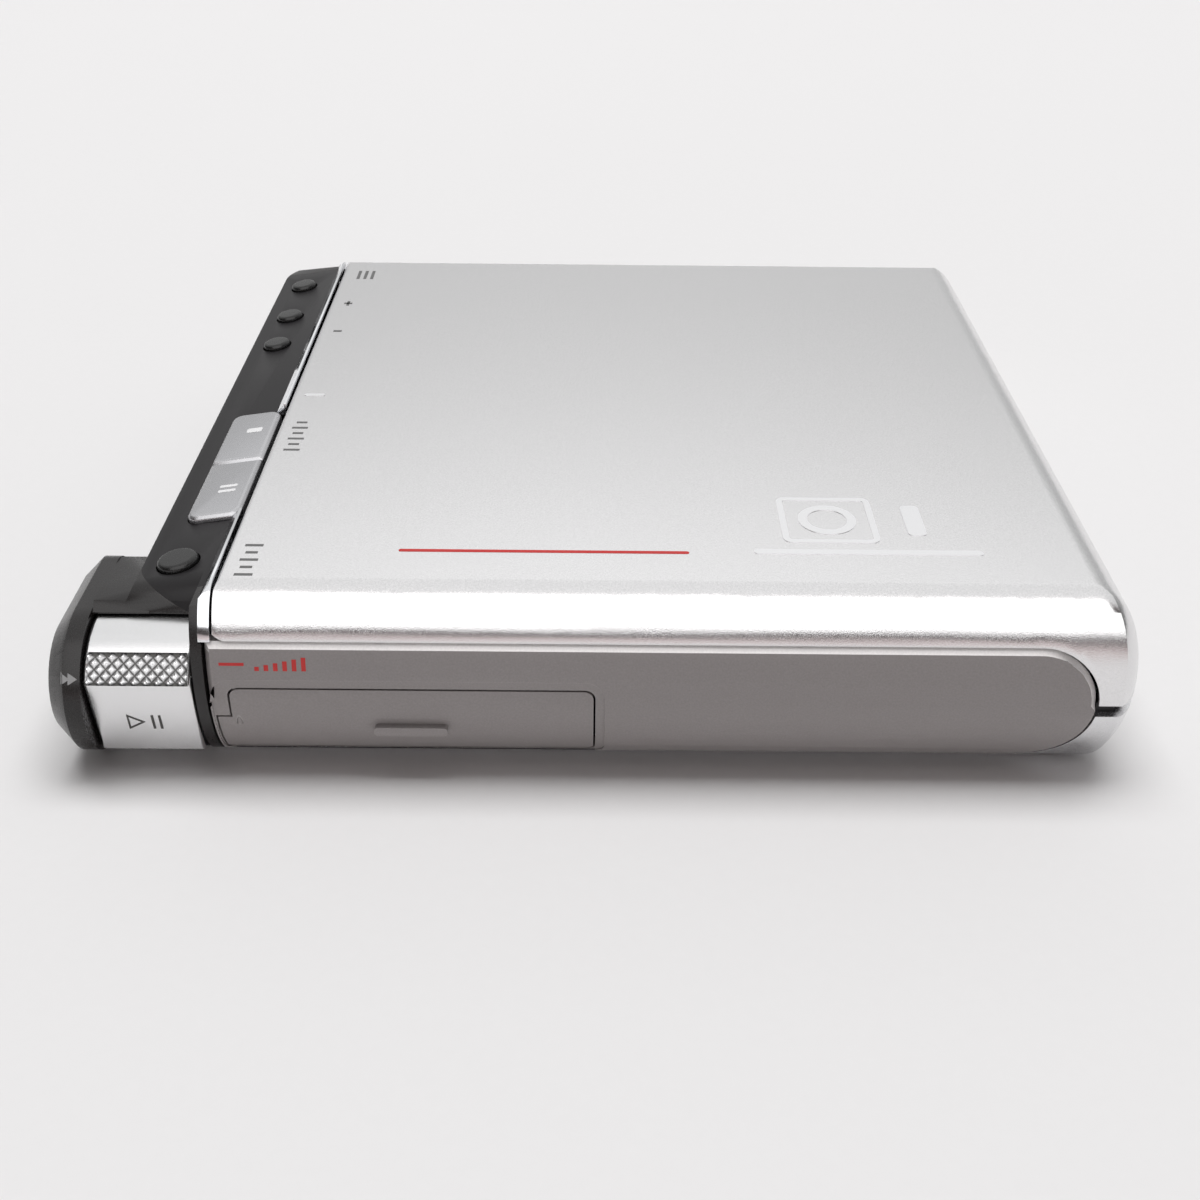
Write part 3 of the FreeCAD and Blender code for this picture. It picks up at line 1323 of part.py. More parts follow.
def sled():
    """Optical pickup on its rods, with the tail that carries the magnetic head arm."""
    body = new_body("pickup_sled")
    half = s.sled_length / 2
    x = spindle_x
    rod_right = x + 9.0
    rod_left = x - 10.5
    bottom = s.board_level + 0.4
    pad(body, "XY", bottom, s.chassis_under + 0.3,
        rounded((x - 6.5, x + 6.5), (sled_y - half, sled_y + half), 1.2))
    pad(body, "XY", s.rod_height - 1.3, s.rod_height + 1.3,
        rectangle((x + 6.0, rod_right + 1.7), (sled_y - half + 1.4, sled_y + half - 1.4)))
    pad(body, "XY", bottom, s.rod_height + 1.3,
        rectangle((screw_x - 1.8, x - 6.0), (sled_y - half + 1.4, sled_y + half - 1.4)))
    tail_low = s.case_wall + 0.5
    pad(body, "XY", tail_low, bottom + 0.1, rectangle((hinge_x - 0.7, x), (sled_y - 1.5, sled_y + 1.5)))
    pad(body, "XZ", eye_y[0], eye_y[1], trace(
        (hinge_x - 0.7, tail_low), (hinge_x + 0.7, tail_low), (hinge_x + 0.7, hinge_z),
        (hinge_x - 0.7, hinge_z, 0.7), (hinge_x - 0.7, tail_low)))
    gap = s.axle_clear
    pocket(body, "XZ", 0.0, half_depth, disc(rod_right, s.rod_height, s.rod_radius + gap),
           disc(rod_left, s.rod_height, s.rod_radius + gap))
    pocket(body, "XZ", 0.0, half_depth, disc(screw_x, s.screw_height, s.screw_radius + gap))
    pocket(body, "XZ", eye_y[0] - 0.1, eye_y[1] + 0.1, disc(hinge_x, hinge_z, s.pin_radius + gap))
    pocket(body, "XY", s.chassis_under - 0.6, s.chassis_under + 1, disc(x, sled_y, 2.6))
    node(body, "pickup_sled")
    lens = new_body("objective_lens")
    turned(lens, "XZ", "Z", trace(
        (0.0, s.chassis_under - 0.6), (2.3, s.chassis_under - 0.6), (2.3, chassis_top + 0.1),
        (1.9, chassis_top + 0.3), (1.6, chassis_top + 0.3), (1.0, chassis_top + 0.5),
        (0.0, chassis_top + 0.5), (0.0, s.chassis_under - 0.6)))
    place(lens, x, sled_y, 0.0)
    node(lens, "objective_lens")
    near = sled_y - half - 1.9
    far = half_depth - 2.4
    rods = [cylinder("rod%d" % i, "y", (rx, s.rod_height), s.rod_radius, near, far)
            for i, rx in enumerate((rod_left, rod_right))]
    node(group("guide_rod_pair", *rods), "guide_rods")
    brackets = []
    for index, (rx, y0, y1) in enumerate((
            (rod_left, near, near + 1.0), (rod_right, near, near + 1.0),
            (rod_left, far - 1.0, far), (rod_right, far - 1.0, far))):
        block = box("rod_block%d" % index, (rx - 1.5, rx + 1.5), (y0, y1),
                    (s.rod_height - 1.5, s.chassis_under))
        bore = cylinder("rod_bore%d" % index, "y", (rx, s.rod_height), s.rod_radius + 0.01,
                        y0 - 1, y1 + 1)
        brackets.append(cut("rod_bracket%d" % index, block, bore))
    node(group("rod_bracket_set", *brackets), "rod_brackets")
    screw = cylinder("lead_screw", "y", (screw_x, s.screw_height), s.screw_radius, near, far)
    node(screw, "lead_screw")
    motor = new_body("sled_motor")
    pad(motor, "XZ", near - 5.6, near - 0.1, disc(screw_x, s.screw_height, 2.9))
    pad(motor, "XZ", near - 6.0, near - 5.5, disc(screw_x, s.screw_height, 1.2))
    node(motor, "sled_motor")


def head_arm():
    """Arm over the disc holder with the magnetic head at its tip, hinged beside the lid."""
    body = new_body("arm_strip")
    half = s.arm_width / 2
    low = holder_top + 0.25
    high = low + s.arm_thick
    eye_low, eye_high = sled_y + 0.05, sled_y + 1.25
    pad(body, "XY", low, high, rectangle((hinge_x, spindle_x + 2.0), (sled_y - half, sled_y + half)))
    pad(body, "XZ", eye_low, eye_high, trace(
        (hinge_x, hinge_z - 0.7), (hinge_x + 2.0, low), (hinge_x + 2.0, high),
        (hinge_x, hinge_z + 0.7), (hinge_x, hinge_z - 0.7, 0.7)))
    pocket(body, "XY", low - 2, hinge_z + 2,
           rectangle((hinge_x - 2, hinge_x + 1.0), (sled_y - 2, sled_y + 0.05)))
    pin = cylinder("arm_pin_form", "y", (hinge_x, hinge_z), s.pin_radius, sled_y - 1.35, eye_high)
    head = box("head_block", (spindle_x - 1.6, spindle_x + 1.6), (sled_y - 1.3, sled_y + 1.3),
               (bay_roof + 0.05, low))
    node(fuse("head_arm_whole", body, pin, head), "magnet_head_arm")


def electronics():
    """Main board, chips, battery pack and its terminals."""
    left = spindle_x + 11.4
    right = half_length - 4.8
    board = new_body("main_board")
    top = s.board_level + s.main_board_thick
    pad(board, "XY", s.board_level, top, rounded((left, right), (-half_depth + 5, half_depth - 5), 1.5))
    for x, y in screw_spots[:2]:
        pocket(board, "XY", s.board_level - 1, top + 1, disc(x, y, s.boss_radius + 0.2))
    node(board, "main_board")
    chips = []
    main_chips = left + 8.6
    edge_chip = right - 3.3
    for index, (x, y, wide, deep, tall) in enumerate((
            (main_chips, -18.0, 9.0, 9.0, 1.0), (main_chips, -4.0, 7.0, 7.0, 0.9),
            (main_chips, 9.0, 10.0, 5.0, 1.1), (edge_chip, -8.0, 4.0, 6.0, 1.4))):
        chips.append(box("chip%d" % index, (x - wide / 2, x + wide / 2),
                         (y - deep / 2, y + deep / 2), (top, top + tall)))
    node(group("chip_set", *chips), "board_chips")
    pack = new_body("battery_pack")
    base = s.case_wall + 0.1
    pad(pack, "XZ", pack_near, pack_far, rounded(
        (battery_left(), battery_right()), (base, base + s.battery_thick), 1.4))
    node(pack, "battery_pack")
    block_low = pack_far + 0.9
    block = box("terminal_block", (battery_left() + 3, battery_left() + 15),
                (block_low, block_low + 2.2), (s.case_wall, base + 3.6))
    node(block, "battery_terminal")
    leaves = []
    for index in range(3):
        x = battery_left() + 4.5 + 4.0 * index
        leaves.append(box("leaf%d" % index, (x, x + 1.0), (block_low - 0.85, block_low),
                          (base + 1.0, base + 2.6)))
    node(group("contact_set", *leaves), "battery_contacts")


def sockets():
    """Audio jacks and data socket that look out through the rear panel."""
    back = half_depth - 2.5
    half = s.jack_body / 2
    z = s.jack_height
    for name, x in zip(jack_names, jack_places):
        body = new_body(name)
        pad(body, "XZ", half_depth - s.jack_depth - 1.6, back,
            rectangle((x - half, x + half), (z - half, z + half)))
        pad(body, "XZ", back - 0.1, half_depth - 0.7, disc(x, z, s.nose_radius))
        pocket(body, "XZ", half_depth - 0.7 - s.jack_depth, half_depth, disc(x, z, s.jack_radius))
        node(body, name)
    port = new_body("data_socket")
    wide = (port_left, port_left + s.port_width)
    tall = (port_middle - s.port_height / 2, port_middle + s.port_height / 2)
    wall = 0.3
    front = half_depth - 0.6
    pad(port, "XZ", front - 6.0, front,
        rounded((wide[0] - wall, wide[1] + wall), (tall[0] - wall, tall[1] + wall), 0.5))
    pocket(port, "XZ", front - 5.5, front + 1, rounded(wide, tall, 0.3))
    pad(port, "XZ", front - 5.6, front - 0.8, rectangle(
        (wide[0] + 1.0, wide[1] - 1.0), (port_middle - 0.35, port_middle + 0.35)))
    node(port, "data_socket")


def latch():
    """Slider in the rear panel with the hook that holds the lid's catch."""
    x = latch_x()
    z = latch_z()
    half = s.slider_length / 2
    slider = new_body("open_slider")
    front = half_depth - 0.4
    pad(slider, "XZ", latch_depth()[1], front, rounded((x - half, x + half), (z - 0.7, z + 0.7), 0.3))
    for step in range(4):
        groove = x - 1.8 + 1.2 * step
        pocket(slider, "XZ", front - 0.25, front + 1,
               rectangle((groove - 0.2, groove + 0.2), (z - 2, z + 2)))
    node(slider, "open_slider")
    hook = new_body("latch_hook")
    pad(hook, "XZ", *latch_depth(), closed(
        (x - 5.0, z - 1.0), (x + s.latch_reach - 0.4, z - 1.0), (x + s.latch_reach - 0.4, s.panel_top + 1.6),
        (x + s.latch_reach - 2.0, s.panel_top + 1.6), (x + s.latch_reach - 2.0, z + 0.6),
        (x - 5.0, z + 0.6)))
    node(hook, "latch_hook")


def case_screws():
    """Screws under the base that hold cover, chassis and control housing together."""
    screws = []
    for index, ((x, y), top) in enumerate(zip(screw_spots, boss_tops)):
        length = top + s.chassis_thick if index < 2 else top + 2.0
        head = cylinder("screw_head%d" % index, "z", (x, y), s.screw_head, 0.1, s.case_wall)
        shank = cylinder("screw_shank%d" % index, "z", (x, y), s.screw_shank, 0.1, length)
        slot = box("screw_slot%d" % index, (x - 1.0, x + 1.0), (y - 0.15, y + 0.15), (-0.5, 0.35))
        cross = box("screw_cross%d" % index, (x - 0.15, x + 0.15), (y - 1.0, y + 1.0), (-0.5, 0.35))
        screws.append(cut("case_screw%d" % index, fuse("screw_form%d" % index, head, shank),
                          fuse("screw_drive%d" % index, slot, cross)))
    node(group("case_screw_set", *screws), "case_screws")


def bay_rim():
    """Dark rim behind the parting gap, with tabs that rest on the chassis."""
    inset = s.case_wall + 0.05
    ring = cut("rim_ring", case_form("rim_outer", inset), case_form("rim_inner", inset + s.rim_wall))
    zone = box("rim_zone", (panel_right + 0.3, half_length + 2), (-far_out, far_out),
               (gap_bottom - s.rim_depth, gap_top))
    parts = [common("rim_band", ring, zone)]
    tab_top = chassis_top + 0.4
    for index, y in enumerate((-22.0, 0.0, 22.0)):
        parts.append(box("rim_tab%d" % index, (half_length - 6, half_length - inset - 0.3),
                         (y - 3, y + 3), (chassis_top, tab_top)))
    node(fuse("bay_rim", *parts), "bay_rim")


def main():
    bottom_cover()
    case_feet()
    front_panel()
    battery_door()
    rear_panel()
    control_side()
    buttons()
    spine_parts()
    jog()
    lid()
    lid_liner()
    hinge_pins()
    disc_holder()
    chassis()
    spindle()
    sled()
    head_arm()
    electronics()
    sockets()
    latch()
    case_screws()
    bay_rim()


def check_and_export():
    """Stops before anything is written if a feature failed or a piece is not sound."""
    doc.recompute()
    faults = []
    for thing in doc.Objects:
        if "Invalid" in thing.State or "Error" in thing.State:
            faults.append(thing.Label + ": " + thing.getStatusString())
    for thing in NODES:
        if thing.Shape.isNull() or not thing.Shape.isValid() or not thing.Shape.Solids:
            faults.append(thing.Label + " has no sound shape")
    if faults:
        raise ValueError("; ".join(faults))
    os.makedirs("parts", exist_ok=True)
    for thing in NODES:
        thing.Shape.exportStep("parts/" + thing.Label + ".step")
        print(thing.Label, len(thing.Shape.Solids), round(thing.Shape.Volume, 1))


main()
check_and_export()
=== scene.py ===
"""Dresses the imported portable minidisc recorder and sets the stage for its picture.

Lengths are in metres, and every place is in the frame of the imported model.
"""
import json
import math

import bmesh
import bpy
from mathutils import Matrix, Vector

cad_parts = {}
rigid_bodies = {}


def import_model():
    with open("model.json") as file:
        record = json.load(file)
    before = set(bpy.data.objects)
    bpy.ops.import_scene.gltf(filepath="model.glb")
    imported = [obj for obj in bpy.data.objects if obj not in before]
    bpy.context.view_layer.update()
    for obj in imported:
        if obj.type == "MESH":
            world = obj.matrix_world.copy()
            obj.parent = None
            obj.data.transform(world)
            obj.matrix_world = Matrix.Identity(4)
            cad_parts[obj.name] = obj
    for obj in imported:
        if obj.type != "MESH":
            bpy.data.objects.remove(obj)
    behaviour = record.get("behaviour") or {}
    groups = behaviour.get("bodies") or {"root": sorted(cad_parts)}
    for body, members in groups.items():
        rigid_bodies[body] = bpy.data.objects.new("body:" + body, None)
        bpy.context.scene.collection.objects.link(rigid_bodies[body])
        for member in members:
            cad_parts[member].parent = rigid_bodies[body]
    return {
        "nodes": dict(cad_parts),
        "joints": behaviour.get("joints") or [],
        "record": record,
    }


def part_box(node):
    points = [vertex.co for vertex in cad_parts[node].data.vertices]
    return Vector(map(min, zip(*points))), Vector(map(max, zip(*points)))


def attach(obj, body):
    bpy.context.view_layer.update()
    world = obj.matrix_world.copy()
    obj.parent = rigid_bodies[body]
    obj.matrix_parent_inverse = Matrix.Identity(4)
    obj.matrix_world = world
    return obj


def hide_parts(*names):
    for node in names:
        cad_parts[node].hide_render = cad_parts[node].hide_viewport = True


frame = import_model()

bl_info = {
    "name": "Portable minidisc recorder",
    "version": (1, 0, 0),
    "blender": (4, 5, 0),
    "location": "3D View > Sidebar > Recorder",
    "description": "Finishes, small parts and the stage of a portable minidisc recorder",
    "category": "Object",
}

MM = 0.001
QUARTER = math.radians(90.0)
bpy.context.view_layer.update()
# The body's near side, and a height that clears the lid
NEAR_SIDE = -40.5 * MM
OVER_LID = 17.6 * MM
BODIES = frame["record"]["behaviour"]["bodies"]
BODY_OF = {node: body for body, nodes in BODIES.items() for node in nodes}
SLOT_OF = {part["node"]: part["material_slot"] for part in frame["record"]["subparts"]}

# How near to a line a corner counts as on it, and how far off an upright face a mark is drawn
NEARNESS = 0.03 * MM
CLEAR = 2.0 * MM
# How close loose corners are merged, and how flat faces are dissolved
MERGE_DISTANCE = 0.0005 * MM
FLAT_ANGLE = math.radians(0.6)
CROWN_STEP = math.radians(4.0)
# The least turn of an edge that is eased, and of one that is cut on the panels' rim
EASED_CORNER = math.radians(35.0)
RIM_CORNER = math.radians(40.0)
# How much of a face's normal has to point outward on a panel, and on the ring
LEAST_OUTWARD = 0.25
LEAST_STRAIGHT = 0.9
# The knurl's bare margin and its teeth's tip, and the ribs' slant and how deep they sit
KNURL_MARGIN = 0.10 * MM
TOOTH_TIP = 0.09
RIB_LEAN = math.radians(-42.0)
RIB_SUNK = 0.04 * MM


def length(name, description, default_mm):
    """A length that a user can set, in metres."""
    return bpy.props.FloatProperty(
        name=name, description=description, default=default_mm * MM, unit="LENGTH", precision=5)


def angle(name, description, degrees):
    """An angle that a user can set."""
    return bpy.props.FloatProperty(
        name=name, description=description, default=math.radians(degrees), subtype="ANGLE")


def colour(name, description, default):
    """A colour that a user can set."""
    return bpy.props.FloatVectorProperty(
        name=name, description=description, default=default, subtype="COLOR", size=3, min=0.0, max=1.0)


def share(name, description, default):
    """A plain number that a user can set."""
    return bpy.props.FloatProperty(name=name, description=description, default=default, min=0.0)


class RecorderSizes(bpy.types.PropertyGroup):
    """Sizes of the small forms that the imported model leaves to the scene.

    Angles round the jog ring are above its near side.
    """

    cover_edge: length("Cover edge", "Eased edges of the metal covers", 0.10)
    panel_edge: length("Panel edge", "Width of the slope round the grey side panels", 0.42)
    upper_round: length("Upper round", "Radius of the panels' round end above its middle", 4.95)
    lower_round: length("Lower round", "Radius of the panels' round end below its middle", 6.75)
    door_edge: length("Door edge", "Eased edges of the battery door", 0.12)
    trim_gap: length("Trim gap", "Gap between the bright trim's flange and the lid", 0.20)
    moulding_edge: length("Moulding edge", "Eased edges of the black mouldings", 0.25)
    button_edge: length("Button edge", "Eased edges of the buttons", 0.14)
    knurl_pitch: length("Knurl pitch", "Distance between the diamonds of the knurl", 0.93)
    knurl_depth: length("Knurl depth", "Height of the diamonds of the knurl", 0.32)
    rib_step: length("Rib step", "Distance between the slanting ribs of the ring", 0.36)
    rib_depth: length("Rib depth", "Height of the slanting ribs of the ring", 0.16)
    ribs_top: angle("Ribs top", "Angle where the slanting ribs start", -48.5)
    ribs_bottom: angle("Ribs bottom", "Angle where the slanting ribs end", -66.0)
    knurl_top: angle("Knurl top", "Angle where the knurl starts", 54.0)
    knurl_bottom: angle("Knurl bottom", "Angle where the knurl ends", 28.7)
    rib_pitch: length("Rib pitch", "Distance between the ribs of a slider", 0.9)
    rib_height: length("Rib height", "Height of the ribs of a slider", 0.18)
    ink_height: length("Ink height", "Thickness of the printed marks", 0.012)
    emboss_height: length("Emboss height", "Height of the raised marks", 0.03)


class RecorderColours(bpy.types.PropertyGroup):
    """Base colours of the finishes, in linear light."""

    lid: colour("Lid", "Blasted metal of the lid", (0.77, 0.765, 0.77))
    case: colour("Case", "Satin metal of the bottom cover", (0.72, 0.72, 0.73))
    panel: colour("Panel", "Warm grey of the side panels", (0.255, 0.236, 0.234))
    housing: colour("Housing", "Black of the control housing", (0.011, 0.0095, 0.0095))
    plate: colour("Plate", "Black of the sloped button plate", (0.011, 0.010, 0.011))
    chrome: colour("Chrome", "Bright trim beside the lid", (0.80, 0.81, 0.83))
    ring: colour("Ring", "Satin metal of the jog ring", (0.80, 0.80, 0.805))
    red_ink: colour("Red ink", "Red of the printed marks", (0.52, 0.018, 0.016))
    grey_ink: colour("Grey ink", "Grey of the printed marks", (0.12, 0.12, 0.12))


class RecorderStage(bpy.types.PropertyGroup):
    """Camera, floor and light."""

    camera_place: bpy.props.FloatVectorProperty(
        name="Camera place", description="Where the camera stands", size=3, unit="LENGTH",
        default=(-0.002752, -0.136596, 0.079295))
    camera_pitch: angle("Camera pitch", "How far the camera looks down", 32.701)
    camera_yaw: angle("Camera yaw", "How far the camera looks to the right", 0.285)
    camera_roll: angle("Camera roll", "How far the camera leans", 0.652)
    focal_length: bpy.props.FloatProperty(
        name="Focal length", description="Focal length of the camera in millimetres", default=44.413)
    floor: colour("Floor", "Colour of the floor", (0.80, 0.795, 0.797))
    sky: share("Sky", "Strength of the light from all round", 1.0)
    lamp: share("Lamp", "Brightness of the soft lamp overhead", 6.6)
    low_lamp: share("Low lamp", "Brightness of the low lamp behind the camera", 4.0)
    upper_card: share("Upper card", "Brightness of the card that shows in glossy faces overhead", 0.53)
    near_card: share("Near card", "Brightness of the card that shows in glossy near faces", 1.6)


def sizes():
    """The sizes in the scene that is open."""
    return bpy.context.scene.recorder_sizes


def colours():
    """The colours in the scene that is open."""
    return bpy.context.scene.recorder_colours


def settle_view():
    """Leaves edit mode and deselects everything."""
    active = bpy.context.view_layer.objects.active
    if active is not None and active.mode != "OBJECT":
        end_edit()
    for item in bpy.context.scene.objects:
        item.select_set(False)


def end_edit():
    """Goes back to object mode."""
    bpy.ops.object.mode_set(mode="OBJECT")


def take_up(*pieces):
    """Selects these pieces alone, with the first one active."""
    settle_view()
    for piece in pieces:
        piece.select_set(True)
    bpy.context.view_layer.objects.active = pieces[0]


def named(name):
    """Names the thing that is active."""
    thing = bpy.context.view_layer.objects.active
    thing.name = thing.data.name = name
    return thing


def added(name, add, **settings):
    """A new thing, made by one of Blender's operators that add things."""
    settle_view()
    add(**settings)
    return named(name)


def set_in_mesh(piece):
    """Moves the object's place, turn and scale into its mesh."""
    take_up(piece)
    bpy.ops.object.transform_apply(location=True, rotation=True, scale=True)


def pick(piece, kind, test):
    """Enters edit mode with only the faces or edges selected that pass the test."""
    take_up(piece)
    bpy.ops.object.mode_set(mode="EDIT")
    bpy.ops.mesh.select_mode(type=kind)
    bpy.ops.mesh.select_all(action="DESELECT")
    mesh = bmesh.from_edit_mesh(piece.data)
    chosen = [element for element in (mesh.faces if kind == "FACE" else mesh.edges) if test(element)]
    for element in chosen:
        element.select_set(True)
    if not chosen:
        raise RuntimeError("nothing to pick on " + piece.name)
    mesh.select_flush_mode()
    bmesh.update_edit_mesh(piece.data)


def join(name, pieces):
    """Joins the pieces to one mesh."""
    take_up(*pieces)
    if len(pieces) > 1:
        bpy.ops.object.join()
    return named(name)


def add_modifier(piece, name, kind, **settings):
    """Adds a modifier with its settings and applies it."""
    take_up(piece)
    modifier = piece.modifiers.new(name, kind)
    for key, value in settings.items():
        setattr(modifier, key, value)
    bpy.ops.object.modifier_apply(modifier=name)


def smooth(piece, degrees=32.0):
    """Shades the piece smooth except at its sharp edges."""
    take_up(piece)
    bpy.ops.object.shade_smooth_by_angle(angle=math.radians(degrees))


def finish_piece(piece, material, node, replaced=True):
    """Gives the piece its material, and the node's body and slot."""
    piece.data.materials.clear()
    piece.data.materials.append(material)
    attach(piece, BODY_OF[node])
    if replaced:
        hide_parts(node)
    return piece


def paint(piece, material, test):
    """Gives only the faces that pass the test another material."""
    piece.data.materials.append(material)
    pick(piece, "FACE", test)
    piece.active_material_index = len(piece.data.materials) - 1
    bpy.ops.object.material_slot_assign()
    end_edit()


def dress(node, material):
    """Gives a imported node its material."""
    item = frame["nodes"][node]
    if not item.material_slots:
        item.data.materials.append(material)
    for place in item.material_slots:
        place.material = material


def merged_copy(node):
    """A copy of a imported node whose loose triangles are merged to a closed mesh."""
    source = frame["nodes"][node]
    piece = bpy.data.objects.new(node + "_finished", source.data.copy())
    bpy.context.scene.collection.objects.link(piece)
    take_up(piece)
    if piece.data.has_custom_normals:
        bpy.ops.mesh.customdata_custom_splitnormals_clear()
    bpy.ops.object.mode_set(mode="EDIT")
    bpy.ops.mesh.select_all(action="SELECT")
    bpy.ops.mesh.remove_doubles(threshold=MERGE_DISTANCE)
    bpy.ops.mesh.dissolve_limited(angle_limit=FLAT_ANGLE)
    end_edit()
    return piece


def eased(node, width, sloped=None):
    """The node in its slot's finish with its sharp edges eased, first sloped where asked."""
    piece = merged_copy(node)
    if sloped:
        sloped(piece, node)
    add_modifier(piece, "Eased edges", "BEVEL", width=width, segments=3, limit_method="ANGLE",
                 angle_limit=EASED_CORNER, use_clamp_overlap=True, miter_outer="MITER_ARC")
    smooth(piece)
    return finish_piece(piece, slot_finish(node), node)


def wire(tree, value, socket):
    """Links a socket or sets its value; a colour is given as three numbers."""
    if isinstance(value, bpy.types.NodeSocket):
        tree.links.new(value, socket)
    else:
        socket.default_value = (*value, 1.0) if socket.type == "RGBA" else value


def maths(tree, operation, *values):
    """A Math node's result."""
    node = tree.nodes.new("ShaderNodeMath")
    node.operation = operation
    for value, socket in zip(values, node.inputs):
        wire(tree, value, socket)
    return node.outputs[0]


def vector_maths(tree, operation, a, b):
    """A Vector Math node's result."""
    node = tree.nodes.new("ShaderNodeVectorMath")
    node.operation = operation
    wire(tree, a, node.inputs[0])
    wire(tree, b, node.inputs["Scale" if operation == "SCALE" else 1])
    return node.outputs["Value" if operation == "DOT_PRODUCT" else "Vector"]


def mixed(tree, share_of_b, a, b):
    """A Mix node's colour."""
    node = tree.nodes.new("ShaderNodeMix")
    node.data_type = "RGBA"
    colour_inputs = [socket for socket in node.inputs if socket.type == "RGBA"]
    for value, socket in zip((share_of_b, a, b), (node.inputs[0], *colour_inputs)):
        wire(tree, value, socket)
    return next(socket for socket in node.outputs if socket.type == "RGBA")


def noise(tree, vector, scale, detail):
    """A Noise texture's value, from 0 to 1."""
    node = tree.nodes.new("ShaderNodeTexNoise")
    node.inputs["Detail"].default_value = detail
    wire(tree, vector, node.inputs["Vector"])
    wire(tree, scale, node.inputs["Scale"])
    return node.outputs["Fac"]


def socket_kind(name):
    """The type of a group's socket, from its name."""
    if name.endswith("Colour"):
        return "NodeSocketColor"
    return "NodeSocketVector" if name == "Vector" else "NodeSocketFloat"


def put_roughness(tree, given, put, change):
    """Changes the roughness that a group passes on."""
    wire(tree, maths(tree, "ADD", given["Roughness"], change), put["Roughness"])


def put_pattern(tree, given, put, pattern):
    """Varies the colour and the roughness with a pattern, which is also the height."""
    centred = maths(tree, "SUBTRACT", pattern, 0.5)
    brightness = maths(tree, "ADD", 1.0, maths(tree, "MULTIPLY", centred, given["Contrast"]))
    wire(tree, vector_maths(tree, "SCALE", given["Colour"], brightness), put["Colour"])
    put_roughness(tree, given, put, maths(tree, "MULTIPLY", centred, given["Spread"]))
    wire(tree, pattern, put["Height"])


def put_masked(tree, given, put, mask, other, change):
    """Puts another colour under a mask and changes the roughness there."""
    mask = maths(tree, "MINIMUM", mask, 1.0)
    wire(tree, mixed(tree, mask, given["Colour"], given[other]), put["Colour"])
    put_roughness(tree, given, put, maths(tree, "MULTIPLY", mask, change))


def speckle(tree, given, put):
    """Fine grain: blasted metal, moulded texture or flake in paint."""
    put_pattern(tree, given, put, noise(tree, given["Vector"], given["Scale"], 3.0))


def brushed_lines(tree, given, put):
    """Fine parallel lines of rolled or brushed sheet, along X."""
    drawn_out = vector_maths(tree, "MULTIPLY", given["Vector"], LINE_STRETCH)
    put_pattern(tree, given, put, noise(tree, drawn_out, given["Scale"], 3.0))


def handling(tree, given, put):
    """Faint cloudy smudges that hands leave."""
    cloud = noise(tree, given["Vector"], given["Scale"], 4.0)
    dulled = maths(tree, "MULTIPLY", maths(tree, "SUBTRACT", cloud, 0.5), given["Amount"])
    tint = maths(tree, "SUBTRACT", 1.0, dulled)
    wire(tree, vector_maths(tree, "SCALE", given["Colour"], tint), put["Colour"])
    put_roughness(tree, given, put, dulled)


def edge_wear_and_highlight(tree, given, put):
    """A lighter, smoother line along edges: rubbed wear, and a painted highlight where the edge colour
    is bright.
    """
    bevel = tree.nodes.new("ShaderNodeBevel")
    bevel.samples = 4
    wire(tree, given["Radius"], bevel.inputs["Radius"])
    normal = tree.nodes.new("ShaderNodeNewGeometry").outputs["Normal"]
    turn = vector_maths(tree, "DOT_PRODUCT", bevel.outputs[0], normal)
    bent = maths(tree, "MULTIPLY", maths(tree, "SUBTRACT", 1.0, turn), 5.0)
    edge_line = maths(tree, "MULTIPLY", bent, noise(tree, given["Vector"], 900.0, 3.0))
    mask = maths(tree, "MULTIPLY", edge_line, given["Amount"])
    put_masked(tree, given, put, mask, "Worn Colour", -0.1)


def fill_groove_shade(tree, given, put):
    """Painted shade: darkens the colour in uneven patches where the surface is hemmed in, as ambient
    occlusion finds it.
    """
    hemmed = tree.nodes.new("ShaderNodeAmbientOcclusion")
    hemmed.samples = 6
    wire(tree, given["Distance"], hemmed.inputs["Distance"])
    closed = maths(tree, "SUBTRACT", 1.0, hemmed.outputs["AO"])
    patches = maths(tree, "ADD", 0.75, noise(tree, given["Vector"], 1500.0, 2.0))
    painted_shade = maths(tree, "MULTIPLY", maths(tree, "MULTIPLY", closed, given["Amount"]), patches)
    put_masked(tree, given, put, painted_shade, "Soiled Colour", 0.3)


def copper_tracks(tree, given, put):
    """Copper tracks that show through solder resist."""
    tracks = tree.nodes.new("ShaderNodeTexBrick")
    tracks.inputs["Mortar Size"].default_value = 0.03
    wire(tree, given["Vector"], tracks.inputs["Vector"])
    wire(tree, given["Scale"], tracks.inputs["Scale"])
    colour_out = mixed(tree, tracks.outputs["Fac"], given["Colour"], given["Track Colour"])
    wire(tree, colour_out, put["Colour"])
    wire(tree, given["Roughness"], put["Roughness"])


LINE_STRETCH = (0.04, 1.0, 1.0)
PATTERN = ("Scale", "Contrast", "Spread")
# What fills each effect's group, and its settings besides the place, colour and roughness
EFFECTS = {
    "Fine speckle": (speckle, PATTERN),
    "Brushed lines": (brushed_lines, PATTERN),
    "Handling": (handling, ("Scale", "Amount")),
    "Edge wear": (edge_wear_and_highlight, ("Worn Colour", "Radius", "Amount")),
    "Groove dirt": (fill_groove_shade, ("Soiled Colour", "Distance", "Amount")),
    "Copper tracks": (copper_tracks, ("Track Colour", "Scale")),
}


